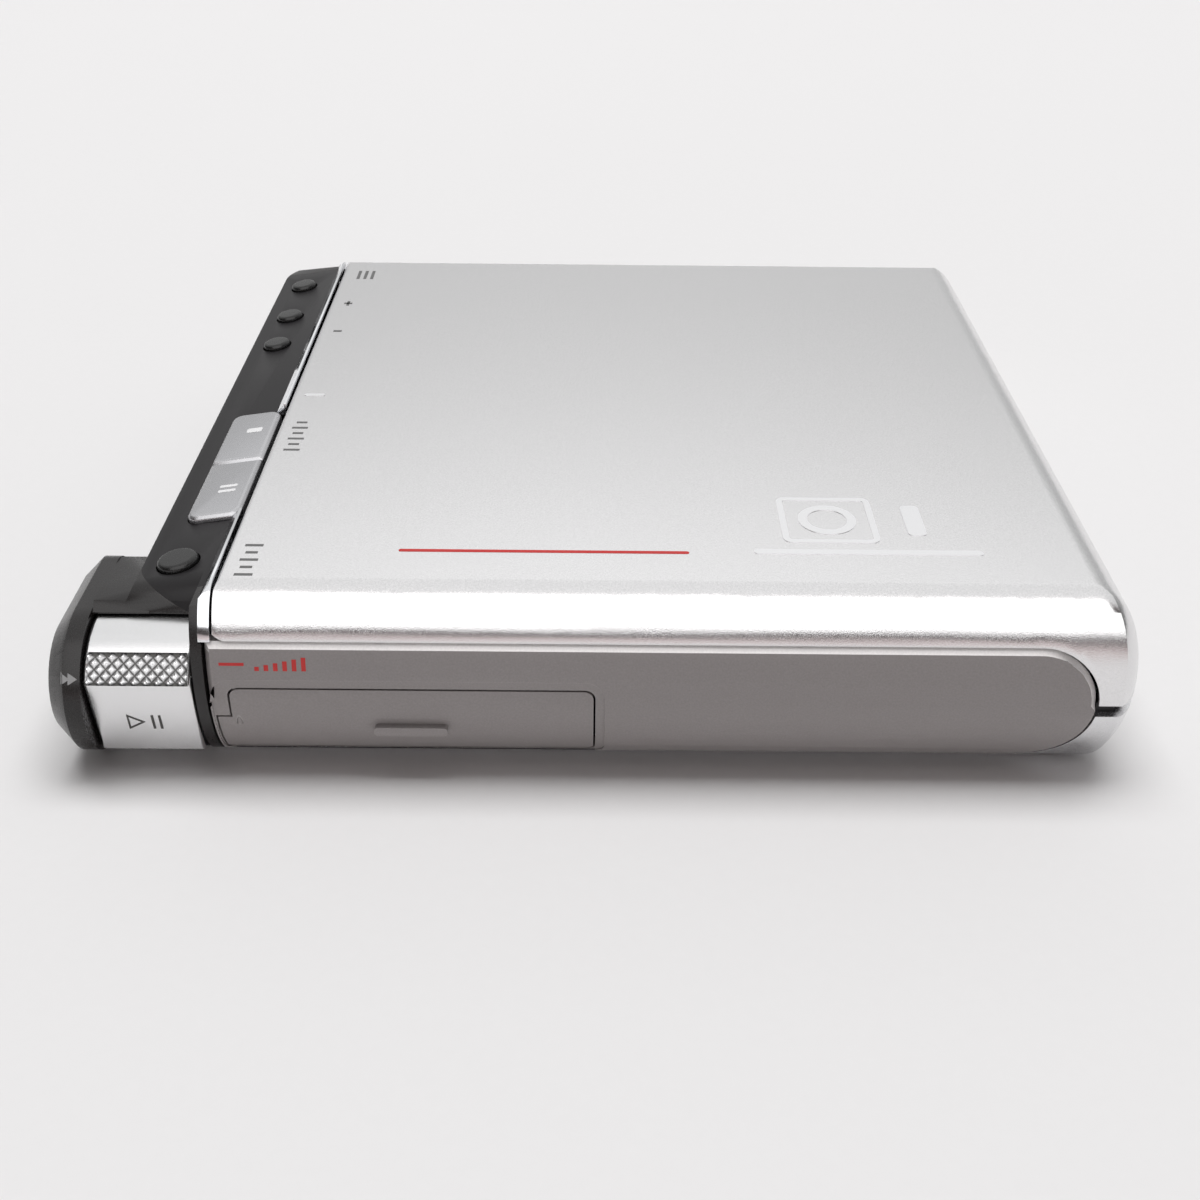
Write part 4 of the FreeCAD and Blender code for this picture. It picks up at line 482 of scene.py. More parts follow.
def group_of(name):
    """The shader group of a shared effect; a pattern's group has a height too."""
    if name in bpy.data.node_groups:
        return bpy.data.node_groups[name]
    fill, settings = EFFECTS[name]
    tree = bpy.data.node_groups.new(name, "ShaderNodeTree")
    inputs = ("Vector", "Colour", "Roughness", *settings)
    outputs = ("Colour", "Roughness", "Height") if settings is PATTERN else ("Colour", "Roughness")
    for direction, sockets in (("INPUT", inputs), ("OUTPUT", outputs)):
        for socket in sockets:
            tree.interface.new_socket(name=socket, in_out=direction, socket_type=socket_kind(socket))
    fill(tree, tree.nodes.new("NodeGroupInput").outputs, tree.nodes.new("NodeGroupOutput").inputs)
    return tree


def effect(name):
    """A function that takes the values of a shared effect's settings for one finish."""
    return lambda *values: (name, dict(zip(EFFECTS[name][1], values)))


speckled = effect("Fine speckle")
brushed = effect("Brushed lines")
handled = effect("Handling")
worn_and_highlit_edges = effect("Edge wear")
shaded_grooves = effect("Groove dirt")
tracked = effect("Copper tracks")


def grey(level):
    """A neutral colour."""
    return level, level, level


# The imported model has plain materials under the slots' own names
FINISHED = "_finish"


def finish(name, base, roughness, *effects, metallic=0.0, relief=0.0, **sockets):
    """Makes a material whose colour and roughness pass through the shared effects in turn.

    The relief is the depth in millimetres of the last effect's height.
    """
    material = bpy.data.materials.new(name + FINISHED)
    material.use_nodes = True
    tree = material.node_tree
    shader = tree.nodes["Principled BSDF"]
    shader.inputs["Metallic"].default_value = metallic
    for socket, value in sockets.items():
        shader.inputs[socket.replace("_", " ")].default_value = value
    place = tree.nodes.new("ShaderNodeTexCoord").outputs["Object"]
    passed = {"Vector": place, "Colour": base, "Roughness": roughness}
    for group, settings in effects:
        node = tree.nodes.new("ShaderNodeGroup")
        node.node_tree = group_of(group)
        for socket in node.inputs:
            wire(tree, passed.get(socket.name, settings.get(socket.name)), socket)
        for socket in node.outputs:
            passed[socket.name] = socket
    wire(tree, passed["Colour"], shader.inputs["Base Color"])
    wire(tree, passed["Roughness"], shader.inputs["Roughness"])
    if relief:
        bump = tree.nodes.new("ShaderNodeBump")
        bump.inputs["Distance"].default_value = relief * MM
        wire(tree, passed["Height"], bump.inputs["Height"])
        wire(tree, bump.outputs[0], shader.inputs["Normal"])
    return material


def metal_finishes():
    """Makes the finishes of the metal parts."""
    shade = colours()
    # Blasted satin metal with a fine sparkle
    finish("lid_silver", shade.lid, 0.205, handled(45.0, 0.03), speckled(8000.0, 0.36, 0.16),
           metallic=1.0, relief=0.006)
    finish("case_silver", shade.case, 0.26, handled(50.0, 0.05), speckled(7500.0, 0.14, 0.10),
           metallic=1.0, relief=0.003)
    finish("trim_chrome", shade.chrome, 0.10, handled(90.0, 0.06), speckled(3000.0, 0.05, 0.05),
           metallic=1.0)
    finish("ring_silver", shade.ring, 0.24, handled(120.0, 0.05), speckled(11000.0, 0.2, 0.10),
           metallic=1.0, relief=0.004)
    # The ring's metal where it is cut to points, paler than the ring as a painted highlight on the
    # teeth, and darkened between them with painted shade
    finish("knurl_silver_highlit", (0.90, 0.90, 0.905), 0.18, shaded_grooves(grey(0.02), 0.35 * MM, 1.2),
           speckled(11000.0, 0.1, 0.1), metallic=1.0)
    # A dark copy of the ring's metal: painted shade on the floors of the grips' grooves, also the dark
    # ink of the play sign on the ring
    finish("groove_shade_and_sign_ink", (0.09, 0.088, 0.085), 0.38, handled(900.0, 0.3),
           speckled(9000.0, 0.3, 0.1), metallic=0.8)
    # Paler, duller metal of the raised signs
    finish("sign_silver", (0.88, 0.88, 0.89), 0.32, speckled(9000.0, 0.12, 0.1),
           metallic=0.9, relief=0.002)
    finish("steel", (0.56, 0.56, 0.57), 0.22, brushed(6000.0, 0.2, 0.15),
           metallic=1.0, relief=0.001)
    finish("sheet_steel", (0.60, 0.61, 0.62), 0.34, handled(60.0, 0.08),
           brushed(5200.0, 0.22, 0.2), metallic=1.0, relief=0.002)
    # Drawn cans of the motors
    finish("motor_steel", (0.46, 0.46, 0.47), 0.30, handled(150.0, 0.08),
           brushed(4200.0, 0.18, 0.12), metallic=1.0, relief=0.001)
    finish("contact_gold", (0.78, 0.56, 0.25), 0.25, handled(400.0, 0.1),
           brushed(5000.0, 0.12, 0.1), metallic=1.0)


def moulding_finishes():
    """Makes the finishes of the mouldings and painted parts that show from outside."""
    shade = colours()
    finish("panel_grey", shade.panel, 0.46, worn_and_highlit_edges((0.36, 0.34, 0.335), 0.10 * MM, 0.8),
           handled(60.0, 0.05), speckled(6500.0, 0.34, 0.10), relief=0.003)
    # A brighter, metallic copy of the panels' grey on their sloped rim: a painted highlight where the
    # rim catches light
    finish("rim_highlight_grey", (0.70, 0.68, 0.675), 0.40, handled(60.0, 0.05),
           speckled(6500.0, 0.30, 0.10), metallic=0.5, relief=0.002)
    finish("housing_black", shade.housing, 0.28, worn_and_highlit_edges((0.05, 0.045, 0.043), 0.10 * MM, 0.4),
           handled(70.0, 0.08), speckled(6000.0, 0.30, 0.08), relief=0.001,
           Specular_IOR_Level=0.45)
    finish("plate_black", shade.plate, 0.45, worn_and_highlit_edges(grey(0.05), 0.06 * MM, 0.4), handled(80.0, 0.06),
           speckled(7000.0, 0.35, 0.10), relief=0.002, Specular_IOR_Level=0.32)
    finish("button_black", grey(0.010), 0.27, worn_and_highlit_edges(grey(0.06), 0.08 * MM, 0.5),
           speckled(8000.0, 0.2, 0.08), relief=0.001)
    # The bright line along the silver buttons' edges is a painted highlight
    finish("button_silver", (0.50, 0.50, 0.515), 0.28, worn_and_highlit_edges((0.96, 0.96, 0.97), 0.30 * MM, 3.0),
           handled(110.0, 0.06), speckled(8000.0, 0.14, 0.08), metallic=0.9, relief=0.002)
    finish("slider_grey", (0.075, 0.075, 0.077), 0.45, worn_and_highlit_edges(grey(0.2), 0.06 * MM, 0.7),
           speckled(7000.0, 0.25, 0.1), relief=0.002)
    # Smoked clear window of the display
    finish("window_dark", (0.30, 0.31, 0.33), 0.05, handled(150.0, 0.05),
           speckled(2500.0, 0.04, 0.03), Transmission_Weight=0.92, IOR=1.49)
    finish("foot_rubber", grey(0.03), 0.75, handled(90.0, 0.1), speckled(5000.0, 0.35, 0.1),
           relief=0.004)


def inner_finishes():
    """Makes the finishes of the drive, the boards, the battery and the display."""
    finish("display_grey", (0.30, 0.34, 0.27), 0.35, speckled(9000.0, 0.08, 0.05))
    finish("mechanism_black", (0.035, 0.035, 0.036), 0.5, worn_and_highlit_edges(grey(0.10), 0.06 * MM, 0.6),
           speckled(6500.0, 0.3, 0.1), relief=0.002)
    # Coated glass of the pickup's lens
    finish("lens_clear", (0.80, 0.90, 1.0), 0.03, speckled(2000.0, 0.03, 0.02),
           Transmission_Weight=1.0, IOR=1.5)
    finish("board_green", (0.015, 0.11, 0.05), 0.32, tracked((0.03, 0.19, 0.09), 420.0),
           speckled(5000.0, 0.15, 0.1), relief=0.001)
    finish("chip_black", grey(0.02), 0.45, speckled(6000.0, 0.4, 0.15), relief=0.002)
    # Printed sleeve of the battery
    finish("battery_skin", (0.20, 0.23, 0.28), 0.38, handled(80.0, 0.08),
           speckled(6000.0, 0.12, 0.06), metallic=0.2, relief=0.001)
    finish("socket_black", (0.022, 0.022, 0.023), 0.42, worn_and_highlit_edges(grey(0.08), 0.05 * MM, 0.5),
           speckled(6000.0, 0.3, 0.1), relief=0.001)


def inks():
    """Makes the printed inks, each slightly uneven."""
    shade = colours()
    for name, base in (("red_ink", shade.red_ink), ("grey_ink", shade.grey_ink),
                       ("label_ink", (0.30, 0.30, 0.305)), ("pale_ink", (0.80, 0.80, 0.81))):
        finish(name, base, 0.5, speckled(9000.0, 0.25, 0.1))


def finish_of(name):
    """The finish with this name."""
    return bpy.data.materials[name + FINISHED]


def slot_finish(node):
    """The finish of the node's slot."""
    return finish_of(SLOT_OF[node])


# How a flat mark is turned to face one way, and the axis that it is laid on its carrier along
FACINGS = {
    "top": (Matrix.Identity(4), "use_project_z"),
    "front": (Matrix.Rotation(QUARTER, 4, "X"), "use_project_y"),
    "left": (Matrix.Rotation(-QUARTER, 4, "Y"), "use_project_x"),
}


def set_mark(piece, centre, facing, turn=0.0, across=1.0, up=1.0):
    """Sizes a flat shape, turns it to face one way and puts it in its place."""
    piece.matrix_world = (Matrix.Translation(centre) @ FACINGS[facing][0]
                          @ Matrix.Rotation(turn, 4, "Z") @ Matrix.Diagonal((across, up, 1.0, 1.0)))
    set_in_mesh(piece)
    return piece


def bar_mark(centre, across_mm, up_mm, facing="top", rounded_mm=0.0, turn=0.0):
    """A flat bar, its corners rounded if asked."""
    piece = added("bar_mark", bpy.ops.mesh.primitive_plane_add, size=1.0)
    set_mark(piece, centre, facing, turn, across_mm * MM, up_mm * MM)
    if rounded_mm:
        pick(piece, "EDGE", lambda edge: True)
        bpy.ops.mesh.bevel(offset=rounded_mm * MM, segments=5, affect="VERTICES")
        end_edit()
    return piece


def round_mark(centre, radius_mm, facing="top", corners=48, turn=0.0):
    """A flat disc, or with three corners a triangle."""
    piece = added("round_mark", bpy.ops.mesh.primitive_circle_add, vertices=corners,
                  radius=radius_mm * MM, fill_type="NGON")
    return set_mark(piece, centre, facing, turn)


def hollow(piece, line_mm):
    """Leaves only a line along the mark's outline."""
    pick(piece, "FACE", lambda face: True)
    bpy.ops.mesh.inset(thickness=line_mm * MM)
    bpy.ops.mesh.delete(type="FACE")
    end_edit()
    return piece


def put_mark(name, pieces, node, facing, height, ink):
    """Joins flat marks, lays them on their carrier and fixes them to it."""
    mark = join(name, pieces)
    pick(mark, "FACE", lambda face: True)
    bpy.ops.mesh.quads_convert_to_tris()
    bpy.ops.mesh.subdivide(number_cuts=3)
    end_edit()
    set_in_mesh(mark)
    add_modifier(mark, "Laid on", "SHRINKWRAP", target=bpy.data.objects[node + "_finished"],
                 wrap_method="PROJECT", use_negative_direction=True, use_positive_direction=True,
                 offset=0.004 * MM, project_limit=4.0 * MM, **{FACINGS[facing][1]: True})
    add_modifier(mark, "Thickness", "SOLIDIFY", thickness=height, offset=1.0, use_even_offset=False)
    finish_piece(mark, finish_of(ink), node, replaced=False)


def on_lid(x_mm, depth_mm):
    """A place over the lid, from its distance across and its depth from the near side."""
    return Vector((x_mm * MM, depth_mm * MM + NEAR_SIDE, OVER_LID))


def copied(piece, matrix):
    """A copy of the piece with its own mesh, at another place."""
    copy = piece.copy()
    copy.data = piece.data.copy()
    bpy.context.scene.collection.objects.link(copy)
    copy.matrix_world = matrix
    return copy


class RECORDER_OT_finishes(bpy.types.Operator):
    """Make the finish of every slot and ink"""
    bl_idname = "recorder.finishes"
    bl_label = "Make finishes"

    def execute(self, context):
        for make in (metal_finishes, moulding_finishes, inner_finishes, inks):
            make()
        return {"FINISHED"}


class RECORDER_OT_covers(bpy.types.Operator):
    """Ease the edges of the lid and the bottom cover"""
    bl_idname = "recorder.covers"
    bl_label = "Finish covers"

    def execute(self, context):
        for node in ("lid_cover", "bottom_cover"):
            eased(node, sizes().cover_edge)
        return {"FINISHED"}


def outward_side(node):
    """Which way along Y a side panel looks."""
    return -1.0 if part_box(node)[0].y < 0.0 else 1.0


def slope_rim(piece, node):
    """Cuts the slope round the upper half of a side panel's outline."""
    low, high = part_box(node)
    outward = outward_side(node)
    upper, lower = sizes().upper_round, sizes().lower_round
    middle = high.z - upper

    def looks_out(face):
        return face.normal.y * outward > LEAST_OUTWARD

    def on_rim(edge):
        if len(edge.link_faces) != 2 or edge.calc_face_angle(0.0) < RIM_CORNER:
            return False
        if not any(looks_out(face) for face in edge.link_faces):
            return False
        for corner in edge.verts:
            x, z = corner.co.x, corner.co.z
            radius = upper if z > middle else lower
            beside = x > high.x - radius
            from_round = abs(math.hypot(x - high.x + radius, z - middle) - radius)
            straight = min(x - low.x, z - low.z, high.z - z)
            if (from_round if beside else straight) > NEARNESS:
                return False
        return min(corner.co.z for corner in edge.verts) > middle - NEARNESS

    pick(piece, "FACE", looks_out)
    bpy.ops.mesh.dissolve_limited(angle_limit=CROWN_STEP)
    pick(piece, "EDGE", on_rim)
    bpy.ops.mesh.bevel(offset=sizes().panel_edge, segments=1, affect="EDGES", clamp_overlap=False)
    end_edit()


class RECORDER_OT_side_panels(bpy.types.Operator):
    """Cut the sloped rim of the grey side panels and ease the edges of the battery door"""
    bl_idname = "recorder.side_panels"
    bl_label = "Finish side panels"

    def execute(self, context):
        for node in ("front_panel", "rear_panel"):
            panel = eased(node, 0.5 * sizes().door_edge, sloped=slope_rim)
            outward = outward_side(node)
            rim_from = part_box(node)[1].z - 0.6 * MM
            # The sloped rim gets the brighter copy of the grey: a painted highlight
            paint(panel, finish_of("rim_highlight_grey"),
                  lambda face: 0.35 < face.normal.y * outward < 0.93 and face.normal.z > -0.2
                  and (face.calc_center_median().z > rim_from or face.normal.x > 0.2))
        eased("battery_door", sizes().door_edge)
        return {"FINISHED"}


class RECORDER_OT_control_side(bpy.types.Operator):
    """Ease the edges of the control housing, its plate and the bright trim"""
    bl_idname = "recorder.control_side"
    bl_label = "Finish control side"

    def execute(self, context):
        smooth(eased("control_housing", sizes().moulding_edge), 52.0)
        eased("control_plate", sizes().cover_edge)
        trim = eased("edge_trim", sizes().cover_edge)
        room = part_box("lid_cover")[0].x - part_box("edge_trim")[1].x - sizes().trim_gap
        # The flange beside the lid
        pick(trim, "FACE", lambda face: face.normal.x > 0.7)
        bpy.ops.transform.translate(value=(room, 0.0, 0.0))
        end_edit()
        return {"FINISHED"}


class RECORDER_OT_buttons(bpy.types.Operator):
    """Ease the edges of the six buttons"""
    bl_idname = "recorder.buttons"
    bl_label = "Finish buttons"

    def execute(self, context):
        for node in frame["nodes"]:
            if node.endswith("_button"):
                eased(node, sizes().button_edge)
        return {"FINISHED"}


def ring_axis():
    """The middle of the jog ring's axis and the ring's half width."""
    low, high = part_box("jog_ring")
    joint = next(joint for joint in frame["joints"] if joint["name"] == "jog_turn")
    axis = Vector(joint["pos_m"])
    return Vector(((low.x + high.x) / 2, axis.y, axis.z)), (high.x - low.x) / 2


def round_ring(axis, at, radius, lift):
    """The placing matrix of a thing on the ring, its Z pointing out.

    It lies this far along the axis, and this far up round it from the near side.
    """
    place = axis + Vector((at, -radius * math.cos(lift), radius * math.sin(lift)))
    return Matrix.Translation(place) @ Matrix.Rotation(QUARTER - lift, 4, "X")


def knurl_teeth(axis, half_width, radius, low, high):
    """One diamond, copied in staggered rows over a band of the ring."""
    pitch, depth = sizes().knurl_pitch, sizes().knurl_depth
    tooth = added("knurl_tooth", bpy.ops.mesh.primitive_cone_add, vertices=4, radius1=pitch / 2,
                  radius2=pitch * TOOTH_TIP, depth=depth, end_fill_type="NGON")
    rows = max(1, int((high - low) * radius / (pitch / 2)))
    step = (high - low) / rows
    across = int((2 * half_width - 2 * KNURL_MARGIN) / pitch)
    teeth = []
    for row in range(rows):
        lift = low + (row + 0.5) * step
        for column in range(across):
            at = (column - (across - 1) / 2 + (row % 2 - 0.5) / 2) * pitch
            teeth.append(copied(tooth, round_ring(axis, at, radius - depth / 2, lift)))
    bpy.data.objects.remove(tooth)
    return teeth


def slanted_ribs(axis, half_width, radius, low, high):
    """Slanting ribs of the second grip, below the ring's flat."""
    rib = added("slanted_rib", bpy.ops.mesh.primitive_cube_add, size=1.0)
    height, step = sizes().rib_depth, sizes().rib_step
    long_side = 1.05 * (high - low) * radius / math.cos(RIB_LEAN)
    count = int((2 * half_width - long_side * math.sin(-RIB_LEAN)) / step)
    form = Matrix.Rotation(RIB_LEAN, 4, "Z") @ Matrix.Diagonal((0.45 * step, long_side, height, 1.0))
    ribs = []
    for number in range(count):
        at = (number - (count - 1) / 2) * step
        place = round_ring(axis, at, radius - RIB_SUNK - height / 2, (low + high) / 2)
        ribs.append(copied(rib, place @ form))
    bpy.data.objects.remove(rib)
    return ribs


def looks_from(face, axis):
    """A face's middle seen from the ring's axis, and whether the face looks straight out there."""
    out = face.calc_center_median() - axis
    out.x = 0.0
    return out, face.normal.dot(out.normalized()) > LEAST_STRAIGHT


def lift_of(out):
    """How far up round the axis from the near side a place lies."""
    return math.atan2(out.z, -out.y)


def cut_band(ring, axis, low, high, depth):
    """Sinks a band of the ring between two angles above the near side."""
    for lift in (low, high):
        pick(ring, "FACE", lambda face: True)
        across = Vector((0.0, math.sin(lift), math.cos(lift)))
        bpy.ops.mesh.bisect(plane_co=axis, plane_no=across)

    def in_band(face):
        out, straight = looks_from(face, axis)
        return low < lift_of(out) < high and straight

    pick(ring, "FACE", in_band)
    bpy.ops.mesh.inset(thickness=0.06 * MM, depth=-depth)
    end_edit()


class RECORDER_OT_jog_ring(bpy.types.Operator):
    """Cut the jog ring's two grips and put their teeth in"""
    bl_idname = "recorder.jog_ring"
    bl_label = "Finish jog ring"

    def execute(self, context):
        axis, half_width = ring_axis()
        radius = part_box("jog_ring")[1].z - axis.z
        ring = merged_copy("jog_ring")
        knurl = sizes().knurl_bottom, sizes().knurl_top
        second = sizes().ribs_bottom, sizes().ribs_top
        cut_band(ring, axis, *knurl, 0.9 * sizes().knurl_depth)
        cut_band(ring, axis, *second, 0.9 * sizes().rib_depth)
        smooth(ring)
        finish_piece(ring, finish_of("ring_silver"), "jog_ring")

        def in_groove(face):
            out, straight = looks_from(face, axis)
            sunk = out.length < radius - 0.6 * sizes().rib_depth
            in_band = any(bottom < lift_of(out) < top for bottom, top in (knurl, second))
            return in_band and sunk and straight

        # The groove floors get the dark copy of the ring's metal: painted shade
        paint(ring, finish_of("groove_shade_and_sign_ink"), in_groove)
        teeth = knurl_teeth(axis, half_width, radius, *knurl)
        teeth += slanted_ribs(axis, half_width, radius, *second)
        grip = join("jog_ring_grip", teeth)
        set_in_mesh(grip)
        finish_piece(grip, finish_of("knurl_silver_highlit"), "jog_ring", replaced=False)
        return {"FINISHED"}


class RECORDER_OT_sliders(bpy.types.Operator):
    """Finish the sliders and put ribs on them"""
    bl_idname = "recorder.sliders"
    bl_label = "Finish sliders"

    def execute(self, context):
        for node in ("hold_slider", "record_slider"):
            eased(node, sizes().cover_edge)
            low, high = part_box(node)
            middle = (low + high) / 2
            count = int((high.y - low.y) / sizes().rib_pitch) - 2
            rib = added("slider_rib", bpy.ops.mesh.primitive_cube_add, size=1.0)
            rib.scale = (2 * sizes().rib_height, 0.3 * MM, (high.z - low.z) * 0.62)
            set_in_mesh(rib)
            add_modifier(rib, "Rounded", "BEVEL", width=0.08 * MM, segments=2)
            places = [Vector((low.x + 0.05 * MM,
                              middle.y + (number - (count - 1) / 2) * sizes().rib_pitch, middle.z))
                      for number in range(count)]
            ribs = [copied(rib, Matrix.Translation(place)) for place in places]
            bpy.data.objects.remove(rib)
            grip = join(node + "_ribs", ribs)
            set_in_mesh(grip)
            smooth(grip)
            finish_piece(grip, slot_finish(node), node, replaced=False)
        eased("open_slider", sizes().cover_edge)
        return {"FINISHED"}


# A figure's segments by their usual letters: how far across, how far up, and whether it lies flat
SEGMENTS = {
    "a": (0.0, 1.0, True), "b": (0.5, 0.5, False), "c": (0.5, -0.5, False), "d": (0.0, -1.0, True),
    "e": (-0.5, -0.5, False), "f": (-0.5, 0.5, False), "g": (0.0, 0.0, True),
}
# The figures 0 to 3
FIGURES = ("adfbec", "bc", "abged", "abgcd")


def figure_marks(segments, middle, height):
    """A figure of straight segments on a face that looks to the left."""
    line, long_side = height * 0.1 / MM, height * 0.4 / MM
    pieces = []
    for segment in segments:
        across, up, lying = SEGMENTS[segment]
        place = middle + Vector((0.0, -across * height * 0.5, up * height * 0.5))
        sides = (long_side, line) if lying else (line, long_side)
        pieces.append(bar_mark(place, *sides, "left", turn=QUARTER))
    return pieces


class RECORDER_OT_display(bpy.types.Operator):
    """Finish the display's window and put figures on the display behind it"""
    bl_idname = "recorder.display"
    bl_label = "Finish display"

    def execute(self, context):
        eased("display_window", sizes().cover_edge)
        low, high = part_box("display_module")
        height = (high.z - low.z) * 0.5
        figures = []
        for number, segments in enumerate(FIGURES):
            # A wider gap after the second figure
            along = (number - 1.5) * height * 0.95 - (0.2 if number < 2 else -0.2) * height
            middle = Vector((low.x - 0.02 * MM, (low.y + high.y) / 2 - along, (low.z + high.z) / 2))
            figures += figure_marks(segments, middle, height)
        marks = join("display_figures", figures)
        add_modifier(marks, "Thickness", "SOLIDIFY", thickness=0.02 * MM)
        finish_piece(marks, finish_of("grey_ink"), "display_module", replaced=False)
        return {"FINISHED"}


# Distances across the lid and in from its near side, in millimetres
SIGNS_ACROSS = -30.9
KEY_TICKS = ((4.9, 5), (26.9, 6))
RAISED_SIGN = (17.2, 14.6)


class RECORDER_OT_marks(bpy.types.Operator):
    """Print and emboss the plain marks on the covers and buttons"""
    bl_idname = "recorder.marks"
    bl_label = "Print marks"

    def execute(self, context):
        self.lid_prints()
        self.lid_raised_sign()
        self.panel_marks()
        self.key_signs()
        self.jog_signs()
        return {"FINISHED"}

    def lid_prints(self):
        """A red rule, and grey signs beside the keys."""
        height = sizes().ink_height
        rule = bar_mark(on_lid(-6.9, 8.9), 24.0, 0.42, rounded_mm=0.2)
        put_mark("lid_red_rule", [rule], "lid_cover", "top", height, "red_ink")
        minus = [bar_mark(on_lid(SIGNS_ACROSS, 55.3), 0.9, 0.4)]
        plus = [bar_mark(on_lid(SIGNS_ACROSS, 63.4), *sides) for sides in ((0.3, 1.3), (0.9, 0.4))]
        menu = [bar_mark(on_lid(SIGNS_ACROSS + 0.8 * row, 72.5), 0.35, 2.6) for row in range(3)]
        ticks = [bar_mark(on_lid(SIGNS_ACROSS, first + 1.15 * number), 1.5 - 0.5 * (number % 2), 0.34)
                 for first, count in KEY_TICKS for number in range(count)]
        put_mark("lid_signs", minus + plus + menu + ticks, "lid_cover", "top", height, "grey_ink")

    def lid_raised_sign(self):
        """A sleeve with its disc and shutter over a rule, and a tab beside the keys."""
        sleeve = hollow(bar_mark(on_lid(*RAISED_SIGN), 8.2, 7.8, rounded_mm=0.8), 0.55)
        disc = hollow(round_mark(on_lid(*RAISED_SIGN), 2.5), 0.8)
        shutter = bar_mark(on_lid(24.6, 14.6), 1.6, 5.2, rounded_mm=0.5)
        rule = bar_mark(on_lid(20.0, 9.2), 19.0, 0.8, rounded_mm=0.35)
        tab = bar_mark(on_lid(-30.7, 38.9), 2.0, 0.5, rounded_mm=0.2)
        put_mark("lid_raised_sign", [sleeve, disc, shutter, rule, tab], "lid_cover", "top",
                 sizes().emboss_height, "sign_silver")

    def panel_marks(self):
        """A red dash and a rising row of level bars on the near panel."""
        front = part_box("front_panel")[0].y - CLEAR
        bars = [bar_mark(Vector((-31.6 * MM, front, 11.0 * MM)), 2.0, 0.26, "front")]
        for number in range(6):
            tall = 0.35 + 0.16 * number
            place = Vector(((-29.6 + 0.75 * number) * MM, front, 10.45 * MM + tall * MM / 2))
            bars.append(bar_mark(place, 0.36, tall, "front"))
        put_mark("panel_red_marks", bars, "front_panel", "front", sizes().ink_height, "red_ink")

    def key_signs(self):
        """Two bars on the pause key and a square on the stop key."""
        pause = [bar_mark(on_lid(-35.6, 20.8 + side), 1.6, 0.45, rounded_mm=0.15)
                 for side in (-0.45, 0.45)]
        stop = [bar_mark(on_lid(-35.5, 32.5), 1.5, 0.9, rounded_mm=0.2)]
        for name, marks in (("pause", pause), ("stop", stop)):
            put_mark(name + "_sign", marks, name + "_button", "top", sizes().ink_height, "pale_ink")

    def jog_signs(self):
        """A double arrow on the housing's lobe, and an arrow with two bars on the ring's flat."""
        height = sizes().ink_height
        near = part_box("control_housing")[0].y - CLEAR
        wind = [round_mark(Vector((x * MM, near, 9.8 * MM)), 0.5, "front", 3, -QUARTER)
                for x in (-45.0, -44.4)]
        put_mark("wind_sign", wind, "control_housing", "front", height, "label_ink")
        axis = ring_axis()[0]
        middle = Vector((axis.x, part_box("jog_ring")[0].y - CLEAR, axis.z - 1.2 * MM))
        arrow = round_mark(middle - Vector((1.0 * MM, 0.0, 0.0)), 0.95, "front", 3, -QUARTER)
        bars = [bar_mark(middle + Vector((side * MM, 0.0, 0.0)), 0.2, 1.5, "front")
                for side in (0.6, 1.2)]
        put_mark("play_sign", [hollow(arrow, 0.14)] + bars, "jog_ring", "front", 3 * height,
                 "groove_shade_and_sign_ink")


class RECORDER_OT_inner_parts(bpy.types.Operator):
    """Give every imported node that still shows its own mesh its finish"""
    bl_idname = "recorder.inner_parts"
    bl_label = "Finish inner parts"

    def execute(self, context):
        for node, item in frame["nodes"].items():
            if not item.hide_render:
                dress(node, slot_finish(node))
        # The door's pin is painted like the door
        dress("battery_door_pin", slot_finish("battery_door"))
        return {"FINISHED"}


LAMP_DISTANCE = 2.5
FLOOR_SIZE = 6.0
FLOOR_DROP = 0.02 * MM
SENSOR_WIDTH = 36.0
CLIP = (1.0 * MM, 20.0)
# Each lamp: its lowest and highest angle from the far side over the top, its width, the setting
# that gives its brightness, and what it is hidden from
LAMPS = {
    "overhead_lamp": (65.0, 92.0, 2.2, "lamp", "visible_glossy"),
    "low_lamp": (173.5, 179.8, 7.0, "low_lamp", "visible_glossy"),
    "upper_card": (34.0, 100.0, 7.0, "upper_card", "visible_diffuse"),
    "near_card": (100.0, 160.0, 3.6, "near_card", "visible_diffuse"),
}
# The sky's brightness at angles from the far side over the top
SKY_STOPS = (
    (0.0, 0.66), (20.0, 0.70), (32.0, 0.97), (36.0, 0.60), (42.0, 0.44), (60.0, 0.42), (92.0, 0.44),
    (104.0, 0.26), (114.0, 0.11), (130.0, 0.08), (158.0, 0.10), (162.0, 0.06), (168.0, 0.05),
    (171.0, 0.48), (180.0, 0.85),
)
SIDE_FADE = 0.7
WARM_FROM = 104.0
WARM = (1.12, 0.96, 0.95)
# What the camera sees past the floor
BACKDROP = (0.84, 0.835, 0.838)


def sky_ramp(tree, turn):
    """The sky's colour from the angle, as a share of half a turn."""
    ramp = tree.nodes.new("ShaderNodeValToRGB")
    wire(tree, turn, ramp.inputs["Fac"])
    stops = ramp.color_ramp.elements
    stops.remove(stops[0])
    for number, (degrees, level) in enumerate(SKY_STOPS):
        position = degrees / 180.0
        stop = stops[0] if number == 0 else stops.new(position)
        stop.position = position
        tint = WARM if degrees >= WARM_FROM else grey(1.0)
        stop.color = (*(level * part for part in tint), 1.0)
    return ramp.outputs["Color"]


